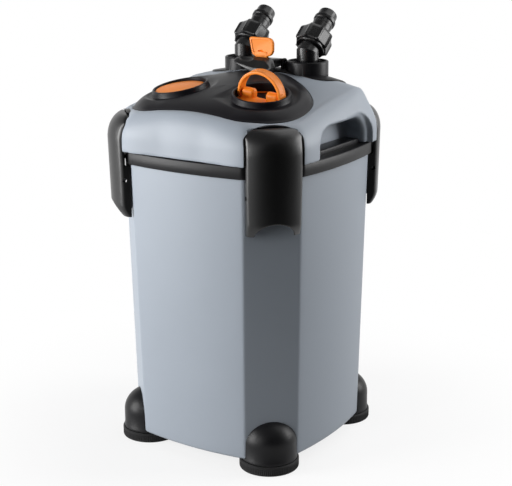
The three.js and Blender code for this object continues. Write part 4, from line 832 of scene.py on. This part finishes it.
def make_top_panel():
    outline, inner = panel_outline(), panel_outline(-1.6)
    rings = [on_crown(towards(PANEL_MIDDLE, outline, share), -2.1) for share in (0.02, 0.3, 0.6, 0.85, 1)]
    rings.append(on_crown(outline, -0.6))
    for a in spread(0.0, math.pi / 2, 6):
        rings.append(on_crown(panel_outline(-1.6 * (1 - math.cos(a))), -0.6, 1.8 * math.sin(a)))
    for share in [1 - 0.0125 * i for i in range(1, 80)]:
        ring = []
        for (x, y), (px, py) in zip(inner, towards(PANEL_MIDDLE, inner, share)):
            rim = (1 - share) * math.hypot(x - PANEL_MIDDLE[0], y - PANEL_MIDDLE[1])
            ring.append((px, py, panel_height(px, py, rim) + 0.2 * math.exp(-rim / 2)))
        rings.append(ring)
    panel = loft("panel", rings)
    for side in SIDES.values():
        carve(panel, place(rod("well", COLLAR_RADIUS - 1.2, -60, 60, sides=96), control_matrix(side)))
    dress(panel, ["top_panel"], finish="panel_black", angle=34)
    lip = arc(CONTROL_BORE + 1.5, -1.5, 1.5, 180, 0, 8)
    outside = [(COLLAR_RADIUS + out, z) for out, z in ((0.3, -4.5), (1.2, -7), (3, -9), (1, -12), (-0.5, -24))]
    for name, side in SIDES.items():
        collar = lathe(f"control_collar_{name}", [(CONTROL_BORE, -24), *lip, *outside], 120)
        dress(place(collar, control_matrix(side)), finish="panel_black")


# ---- controls
def make_button():
    """The priming button; its face leans down to the rear right."""
    crest = [(DISC_RADIUS * s, -1.6 + 2.2 * (1 - s * s)) for s in spread(0.94, 0.08, 16)]
    button = lathe("button", [(0, -32), (BUTTON_STEM, -32), (BUTTON_STEM, -6.6), (DISC_RADIUS, -6.6),
        (DISC_RADIUS, -3.0), (DISC_RADIUS - 0.25, -2.2), (DISC_RADIUS - 0.9, -1.6), *crest, (0, 0.6)], 120)
    right, rear = BUTTON_WAY
    for vertex in button.data.vertices:
        if vertex.co.z > -4 * MM:
            vertex.co.z -= BUTTON_SUNK * MM + (vertex.co.x * right + vertex.co.y * rear) * BUTTON_LEAN
    dress(place(button, control_matrix(-1)), ["prime_button"], "prime_button", "orange")


def make_spring():
    """The priming spring at its pressed length, so that the button has room to come down to it."""
    rings = []
    for t in spread(0, 1, SPRING_TURNS * 40 + 1):
        a, height = 2 * math.pi * SPRING_TURNS * t, mix(SPRING_FOOT, -8.6 - BUTTON_TRAVEL, t)
        ring = []
        for b in spread(0, 2 * math.pi, 13)[:-1]:
            r = SPRING_RADIUS + SPRING_WIRE * math.cos(b)
            ring.append((r * math.cos(a), r * math.sin(a), height + SPRING_WIRE * math.sin(b)))
        rings.append(ring)
    spring = place(loft("spring", rings), control_matrix(-1))
    dress(spring, ["prime_spring"], slot="steel")


def make_cap():
    """The service cap: a disc with a raised front, two lugs for the bail, and a black plate in a shallow pocket
    that darkens its rear.
    """
    right = control_matrix(1)
    cap = lathe("cap", [(0, -23.2), (24, -23.2), (24, -15.6), (DISC_RADIUS, -15.6), (DISC_RADIUS, -10.7),
        (DISC_RADIUS - 0.3, -9.9), (DISC_RADIUS - 0.9, CAP_FACE), (DISC_RADIUS - 3.4, CAP_FACE),
        (0, CAP_FACE)], 120)
    lug_x = math.sqrt(BAIL_INNER ** 2 - LUG_RADIUS ** 2) - LUG_RADIUS
    ear = [(-LUG_RADIUS, -10.6), (LUG_RADIUS, -10.6), *arc(0, BAIL_HINGE, LUG_RADIUS, 0, 180, 20)]
    for side in SIDES.values():
        x0, x1 = sorted((side * (lug_x + 5), side * 8.0))
        lug = bevel(along_x("lug", ear, x0, x1), 3.2, 6)
        hole = rod("bore", 2.1, lug_x + 0.4, 30, sides=24)
        carve(lug, place(hole, spin(side * 90, "Y"), shift(0, 0, BAIL_HINGE)))
        weld(cap, lug)
    step = [*arc(0, 0, 24.2, 180, 360, 48), (24.2, 1.5), (-24.2, 1.5)]
    weld(cap, bevel(prism("step", step, -10.5, -7.4), 0.8, 3))
    pocket_outline = [(-7.4, 2.4), (7.4, 2.4), (7.4, 6.6), (28.2, 6.6), *arc(0, 0, 29.0, 14, 166, 60), (-28.2, 6.6),
        (-7.4, 6.6)]
    carve(cap, prism("pocket", pocket_outline, POCKET_FLOOR, 3))
    dress(place(cap, right), ["service_cap"], "service_cap", "orange")
    # The cap's rear is made dark by a black plate on the floor of its pocket.
    fitted = [(mix(0, x, 0.988), mix(14, y, 0.985)) for x, y in pocket_outline]
    plate = bevel(prism("cap_pocket_plate", fitted, POCKET_FLOOR + 0.2, -11.0), 0.4, 2)
    dress(place(plate, right), body="service_cap", finish="panel_black")


def make_bail():
    """The cap's strap; its outer face is crowned between two raised lips."""
    inner, outer, half = BAIL_INNER, BAIL_OUTER, BAIL_HALF
    section = [(inner, -half + 0.7), (inner + 0.25, -half + 0.2), (inner + 0.9, -half), (outer - 1.2, -half),
        (outer - 0.4, -half + 0.3), (outer, -half + 1.1), (outer, -half + 1.9), (outer - 0.35, -half + 2.6),
        (outer - 0.5, -half + 3.2), (outer - 0.15, 0.0)]
    section += [(r, -y) for r, y in reversed(section[:-1])]
    section += [(inner, 2.0), (inner, -2.0)]
    rings = [[(r * math.cos(a), y, r * math.sin(a)) for r, y in section] for a in spread(0, math.pi, 61)]
    bail = loft("bail", rings)
    for side in SIDES.values():
        eye = bevel(rod("eye", half, inner, outer, sides=48), 0.9, 3)
        pivot = rod("pivot", 1.8, inner - 4, inner + 1, sides=24)
        weld(bail, place(eye, spin(side * 90, "Y")), place(pivot, spin(side * 90, "Y")))
    dress(place(bail, shift(0, 0, BAIL_HINGE), control_matrix(1)), ["cap_bail"], "cap_bail", "orange")


# ---- tap block, elbows, nuts and tails
def tap_outline(grow=0.0):
    half, front, rear = 91.5 + grow, 43.5 - grow, 103.0 + grow
    inside, middle = half - 26, front + 30
    near = [bezier((inside, front), (half, front + 2), (half, middle), t) for t in spread(0, 1, 14)[1:]]
    far = [bezier((half, middle), (half, rear), (inside, rear), t) for t in spread(0, 1, 18)[1:]]
    right = [*[(x, front) for x in spread(0, inside, 12)], *near, *far,
             *[(x, rear) for x in spread(inside, 0, 12)[1:]]]
    return [*right, *[(-x, y) for x, y in reversed(right[1:-1])]]


def tap_post_bottom():
    return crown(TAP_X, TAP_Y) - 2.1


def make_tap_block():
    rings = []
    for share in (0.03, 0.3, 0.6, 0.85, 1):
        rings.append(on_crown(towards(TAP_MIDDLE, tap_outline(), share), -2.6))
    for a in spread(0, math.pi / 2, 5):
        rings.append(on_crown(tap_outline(-1.3 * (1 - math.cos(a))), -0.1, 1.3 * math.sin(a)))
    for share in (0.9, 0.75, 0.6, 0.45, 0.3, 0.15, 0.03):
        rings.append(on_crown(towards(TAP_MIDDLE, tap_outline(-1.3), share), 1.2))
    tap = loft("tap", rings)
    for side in SIDES.values():
        x = side * TAP_X
        carve(tap, rod("post_room", 25, 380, 500, x, TAP_Y))
        low = tap_post_bottom()
        rim = arc(24.1, 461.1, 1.6, 0, 180, 8)
        post = lathe("post", [(13.9, low), (25.7, low), (25.7, 444), *rim, (22.5, 456.6), (21.9, 455.4),
            (19.4, 455), (17.6, 455), (17.0, 456.8), (15.9, 456.8), (15.2, 455), (13.9, 455)], 96)
        pipe = lathe("pipe", [(HOSE_BORE, BAND_TOP + 0.3), (20.7, BAND_TOP + 0.3), (20.7, low + 1),
            (13.9, low + 1), (13.9, 440), (HOSE_BORE, 440)], 64)
        weld(tap, place(post, shift(x, TAP_Y)), place(pipe, shift(x, TAP_Y)))
        hook = [(20.6, 454.5), (22.9, 454.5), (22.9, 459.8), (21.6, 460.4), (20.6, 459.6)]
        for angle in (20, 110, 200, 290):
            clip = lathe("clip", hook, 96)
            keep = prism("keep", [(0, 0), *arc(0, 0, 30, angle - 26, angle + 26, 8)], 450, 465)
            place(combine(clip, "INTERSECT", keep), shift(x, TAP_Y))
            weld(tap, clip)
    cheek = [(AXLE_Y - 9, 446), (AXLE_Y + 9, 446), *arc(AXLE_Y, AXLE_Z, 5, 0, 180, 16)]
    for x0, x1 in ((15.5, 19), (-19, -15.5)):
        bracket = bevel(along_x("bracket", cheek, x0, x1), 0.8, 3)
        carve(bracket, bar("bore", AXLE_BORE, 40, AXLE_Y, AXLE_Z, 24))
        weld(tap, bracket)
    dress(tap, ["tap_block"], angle=34)


def nut_ring(reach, z, rib):
    """Eight flats with a raised rib along each corner; a ring without a rib is round."""
    points = []
    for a in spread(0, 2 * math.pi, 177)[:-1]:
        off = abs((a + math.pi / 4) % (math.pi / 4) - math.pi / 8)
        corner = math.pi / 8 - off
        face = reach / math.cos(math.pi / 8 - corner) if rib else reach
        r = face + rib * math.exp(-(corner / 0.085) ** 2)
        points.append((r * math.cos(a), r * math.sin(a), z))
    return points


def mitre_half(low, high):
    """One side of the plane in which an elbow's upright and its leaning arm meet."""
    side = block("half", -40, 40, -40, 40, low, high)
    return place(side, spin(-ELBOW_LEAN / 2, "X"), shift(0, 0, ELBOW_BEND))


def make_taps():
    lean = spin(-ELBOW_LEAN, "X")
    bend = shift(0, 0, ELBOW_BEND)
    for name, side in SIDES.items():
        here = shift(side * TAP_X, TAP_Y)
        elbow = rod("elbow", ELBOW_RADIUS, 443, ELBOW_BEND + 20, sides=96)
        combine(elbow, "INTERSECT", mitre_half(-60, 0))
        arm = place(rod("arm", ELBOW_RADIUS, -20, 24, sides=96), lean, bend)
        combine(arm, "INTERSECT", mitre_half(-0.02, 60))
        weld(elbow, arm)
        bore = [(0, -HOSE_BORE), *arc(0, 0, HOSE_BORE, -90, 0, 8)[1:], (HOSE_BORE, 25), (0, 25)]
        carve(elbow, rod("bore_down", HOSE_BORE, 442, ELBOW_BEND, sides=48),
              place(lathe("bore", bore, 48), lean, bend))
        nut = loft("nut", [nut_ring(r, z, rib) for r, z, rib in ((17.2, 9, 0.0), (18.6, 9.6, 0.4),
            (19.4, 10.6, 1.0), (19.5, 13, 1.3), (19.5, 26, 1.3), (19.3, 28.4, 1.1), (18.4, 30.6, 0.5),
            (17.2, 32.2, 0.1), (16.2, 33, 0.0))])
        foot = lathe("foot", [(0, 6.5), (17.2, 6.5), (17.9, 7.1), (17.9, 9.2), (17.2, 10), (0, 10)], 72)
        weld(nut, foot)
        carve(nut, rod("nut_bore", 14.5, 5, 30, sides=64), rod("nut_mouth", 12.7, 5, 40, sides=64))
        tail = lathe("tail", [(9, 24.3), (13.6, 24.3), (13.6, 27.3), (12.2, 27.3), (12.2, 44), (12.45, 44.4),
            (12.45, 45.6), (12.2, 46), (12.2, 49.6), (12.9, 50.1), (13.6, 50.5), (13.75, 51.2), (13.75, 54.4),
            (13.4, 55.0), (12.2, 55.4), (12.0, 56), (11.9, 63.2), (11.6, 64.8), (10.9, 65.65), (10.2, 65.96),
            (9.6, 65.96), (9.0, 65.4)], 96)
        for piece, node, body, angle in ((elbow, "elbow", "elbow", 28),
                                         (place(nut, lean, bend), "union_nut", "union_nut", 30),
                                         (place(tail, lean, bend), "hose_tail", "elbow", 28)):
            dress(place(piece, here), [f"{node}_{name}"], f"{body}_{name}", finish="gloss_black", angle=angle)


# ---- release lever and lock tab
def make_release_lever():
    rings = []
    for x in spread(PADDLE_LEFT, PADDLE_RIGHT, 45):
        t = clamp((x - PADDLE_LEFT) / PADDLE_CURL)
        wing = math.sqrt(clamp(1 - (1 - t) ** 2))
        front = mix(25.0, 14.0, wing ** 0.8)
        back = mix(31.0, 40.0, wing) - 0.9 * max(0.0, x - 12.0)
        low, lip = mix(462.4, 449.5, t), mix(463.6, 456.5, t)
        top = mix(465.2, 468.2, wing) - 0.045 * max(0.0, x - 8.0) ** 2
        lip, low = min(lip, top - 0.8), min(low, top - 2.0)
        front -= 2.0 * (1 - t)
        middle = mix(front, back, 0.55)
        rings.append([(x, front, low + 0.3), (x, front - 0.3, mix(low, lip, 0.5)), (x, front + 0.4, lip),
            (x, mix(front, middle, 0.5), mix(lip, top, 0.72)), (x, middle, top),
            (x, mix(middle, back, 0.7), top - 0.4), (x, back, top - 1.6), (x, back, mix(low, top, 0.3)),
            (x, middle, low)])
    lever = loft("lever", rings)
    dish = bowl("dish", (12, 6, 3.4), 17, 48)
    carve(lever, place(dish, spin(24, "X"), spin(-14, "Z"), shift(-14, 23, 466.6)))
    soften(lever, 0.45, 4)
    arm = [(30, 455.0), (34, 454.4), *arc(AXLE_Y, AXLE_Z, 4.5, -90, 90, 10), (34, 466.0), (30, 466.4)]
    for outline, x0, x1 in ((arm, -15, 9), (arm[1:-1], 8, 15)):
        weld(lever, bevel(along_x("arm", outline, x0, x1), 0.8, 3, 60))
    slot_half = TAB_HALF / 2 + 0.5
    carve(lever, block("slot", -slot_half, slot_half, 30.5, 41.5, 459.5, 480),
        bar("socket", 2.2, 12.2, TAB_Y, TAB_Z, 24), bar("axle_bore", AXLE_BORE, 40, AXLE_Y, AXLE_Z, 32))
    dress(lever, ["release_lever"], "release_lever", finish="lever_black", angle=50)


def make_lock_tab():
    low, high, half = 468.6, 491.0, TAB_HALF
    left = [(-half, high - 2.2), (-half + 1.1, high - 0.5), (-half + 3.2, high)]
    right = [*arc(half - 7.5, high - 7.5, 7.5, 90, 0, 12), *arc(half - 8.2, low + 8.2, 8.2, 0, -90, 12)]
    foot = [*arc(-half + 8.6, low + 5.0, 5.0, -90, -160, 8), (-half + 2.2, low + 9)]
    plate = [*left, *right, *foot]
    tab = bevel(along_y("tab", plate, TAB_NEAR, TAB_FAR), 1.2, 4, 60)
    hollow = along_y("hollow", [(mix(0.4, x, 0.84), mix(480.2, z, 0.80)) for x, z in plate], 33, 34.7)
    carve(tab, bevel(hollow, 0.6, 3, 60))
    carve(tab, place(bowl("notch", (4.6, 2.4, 3.0), 13, 40), shift(-1.0, 34.6, 473.2)))
    stem = bevel(block("stem", -8.6, 8.6, TAB_NEAR, TAB_FAR, 461.3, 474.0), 0.7, 2)
    weld(tab, stem, bar("pivot", 1.9, 11.6, TAB_Y, TAB_Z, 24))
    dress(tab, ["lock_tab"], "lock_tab", "orange", angle=34)


# ---- latches
def lever_front(z):
    """How far out the lever's front lies: near flat from heel to shoulder, drawn in at tip and crown."""
    if z <= LEVER_HEEL:
        return mix(HEEL_OUT, TIP_OUT, clamp((LEVER_HEEL - z) / 16) ** 2)
    if z <= LEVER_SHOULDER:
        return mix(HEEL_OUT, SHOULDER_OUT, (z - LEVER_HEEL) / (LEVER_SHOULDER - LEVER_HEEL))
    rise = min(1.0, (z - LEVER_SHOULDER) / (LEVER_TOP - LEVER_SHOULDER))
    return CROWN_OUT + CROWN_REACH * math.sqrt(max(0.0, 1 - rise * rise))


def lever_half(z):
    return mix(LEVER_TIP_HALF, LEVER_HALF, smooth((z - LEVER_TIP) / 65))


def lever_ring(z, back, half, front, edge=2.6, rim=None):
    """A level slice: a straight back, and a front that bows on one radius and eases into both sides."""
    rim = back if rim is None else rim
    radius = (LEVER_HALF ** 2 + LEVER_BOW ** 2) / (2 * LEVER_BOW)
    most = max(0.5, front - rim - 1.2)
    width = min(half, math.sqrt(radius ** 2 - max(0.0, radius - most) ** 2))
    thin = front - (radius - math.sqrt(radius ** 2 - width ** 2)) - rim
    edge = min(edge, 0.85 * thin)
    points = []
    for a in spread(-math.pi / 2, math.pi / 2, 45):
        y = width * math.sin(a)
        over = clamp((abs(y) - width + edge) / edge)
        fall = radius - math.sqrt(radius ** 2 - y * y) + edge * (1 - math.sqrt(1 - over * over))
        points.append((front - fall, y, z))
    return [(back, width, z), (back, -width, z), *points]


def make_latch_levers():
    cheek, high = BAND_CORNER + 0.5, BAND_CORNER + BAND_PROUD + 3.4
    under, hook = BAND_BOTTOM - 2, HOOK_LEDGE + 0.8
    rings = [lever_ring(z, cheek, lever_half(z), lever_front(z)) for z in spread(LEVER_TIP, under, 22)]
    for z in spread(under + 0.02, hook, 24):
        back = mix(high, high - 2.5, smooth((z - LEVER_SHOULDER) / (hook - LEVER_SHOULDER)))
        rings.append(lever_ring(z, back, lever_half(z), lever_front(z)))
    for z in spread(hook + 0.02, LEVER_TOP - 0.05, 12):
        back = HOOK_OUT + 0.3 + 0.25 * max(0.0, z - LEVER_TOP + 3.6)
        rim = mix(high - 2.5, HOOK_OUT + 1.2, (z - hook) / (LEVER_TOP - hook))
        rings.append(lever_ring(z, back, lever_half(z), lever_front(z), rim=rim))
    lever = loft("lever", rings)
    room = []
    for z in spread(LEVER_TIP - 5, hook - 7, 24):
        front = min(lever_front(z), lever_front(z + 3)) - 2.6
        room.append(lever_ring(z, cheek - 12, lever_half(max(z, LEVER_TIP)) - 2.6, front, 2.0))
    carve(lever, loft("room", room))
    arch = place(rod("arch", 16.2, 100, 220, sides=72), spin(90, "Y"))
    arch.data.transform(Matrix.Diagonal((1, 1.39, 1, 1)))
    carve(lever, place(arch, shift(0, 0, LEVER_TIP)))
    soften(lever, 0.8, 4)
    carve(lever, place(rod("pin_bore", 2.7, -60, 60, sides=32), spin(90, "X"), shift(PIN_OUT, 0, PIN_Z)))
    at_corners(lever, "latch_cover_{}", "latch_lever_{}", "lever_{}", finish="lever_black", angle=50)


def make_latch_loops():
    """The links between levers and canister, with the pins they turn on."""
    length = math.hypot(PIN_OUT - ANCHOR_OUT, PIN_Z - ANCHOR_Z)
    lay = spin(90, "X")
    plate = bevel(block("plate", -2, 2, -16.7, 16.7, 0, length), 0.8, 2)
    carve(plate, bevel(block("window", -10, 10, -9.7, 9.7, 8, length - 8), 2, 3))
    for radius, bore, z in ((4.4, 2.7, length), (3.1, 2.1, 0)):
        eye = bevel(place(rod("eye", radius, -16.7, 16.7, sides=32), lay, shift(0, 0, z)), 0.5, 2)
        weld(plate, eye)
        carve(plate, place(rod("bore", bore, -50, 50, sides=24), lay, shift(0, 0, z)))
    lean = math.degrees(math.atan2(PIN_OUT - ANCHOR_OUT, length))
    place(plate, spin(lean, "Y"), shift(ANCHOR_OUT, 0, ANCHOR_Z))
    at_corners(plate, "latch_loop_{}", "latch_link_{}", "link_{}")

    for label, radius, reach, out, z, body in (
            ("lever_pin", 2.4, 26.0, PIN_OUT, PIN_Z, "lever_{}"),
            ("anchor_pin", 1.8, 19.9, ANCHOR_OUT, ANCHOR_Z, "filter_body")):
        pin = bevel(rod(label, radius, -reach, reach, sides=32), 0.4, 2)
        place(pin, lay, shift(out, 0, z))
        at_corners(pin, label + "_rod_{}", label + "_{}", body, slot="steel")


def make_gland():
    gland = lathe("gland", [(2.6, 0), (7.1, 0), (7.1, 1.5), (6.5, 2.1), (4.4, 2.5), (4.2, 3.2), (4.4, 3.6),
        (4.2, 4.4), (3.9, 4.9), (3.7, 6), (2.6, 6)], 48)
    place(gland, spin(-90, "X"), shift(0, GLAND_OUT, GLAND_Z))
    dress(gland, ["cable_gland"], slot="rubber")


make_canister()
make_feet()
make_head_base()
make_head_cover()
make_top_panel()
make_button()
make_cap()
make_bail()
make_spring()
make_tap_block()
make_taps()
make_release_lever()
make_lock_tab()
make_latch_levers()
make_latch_loops()
make_gland()
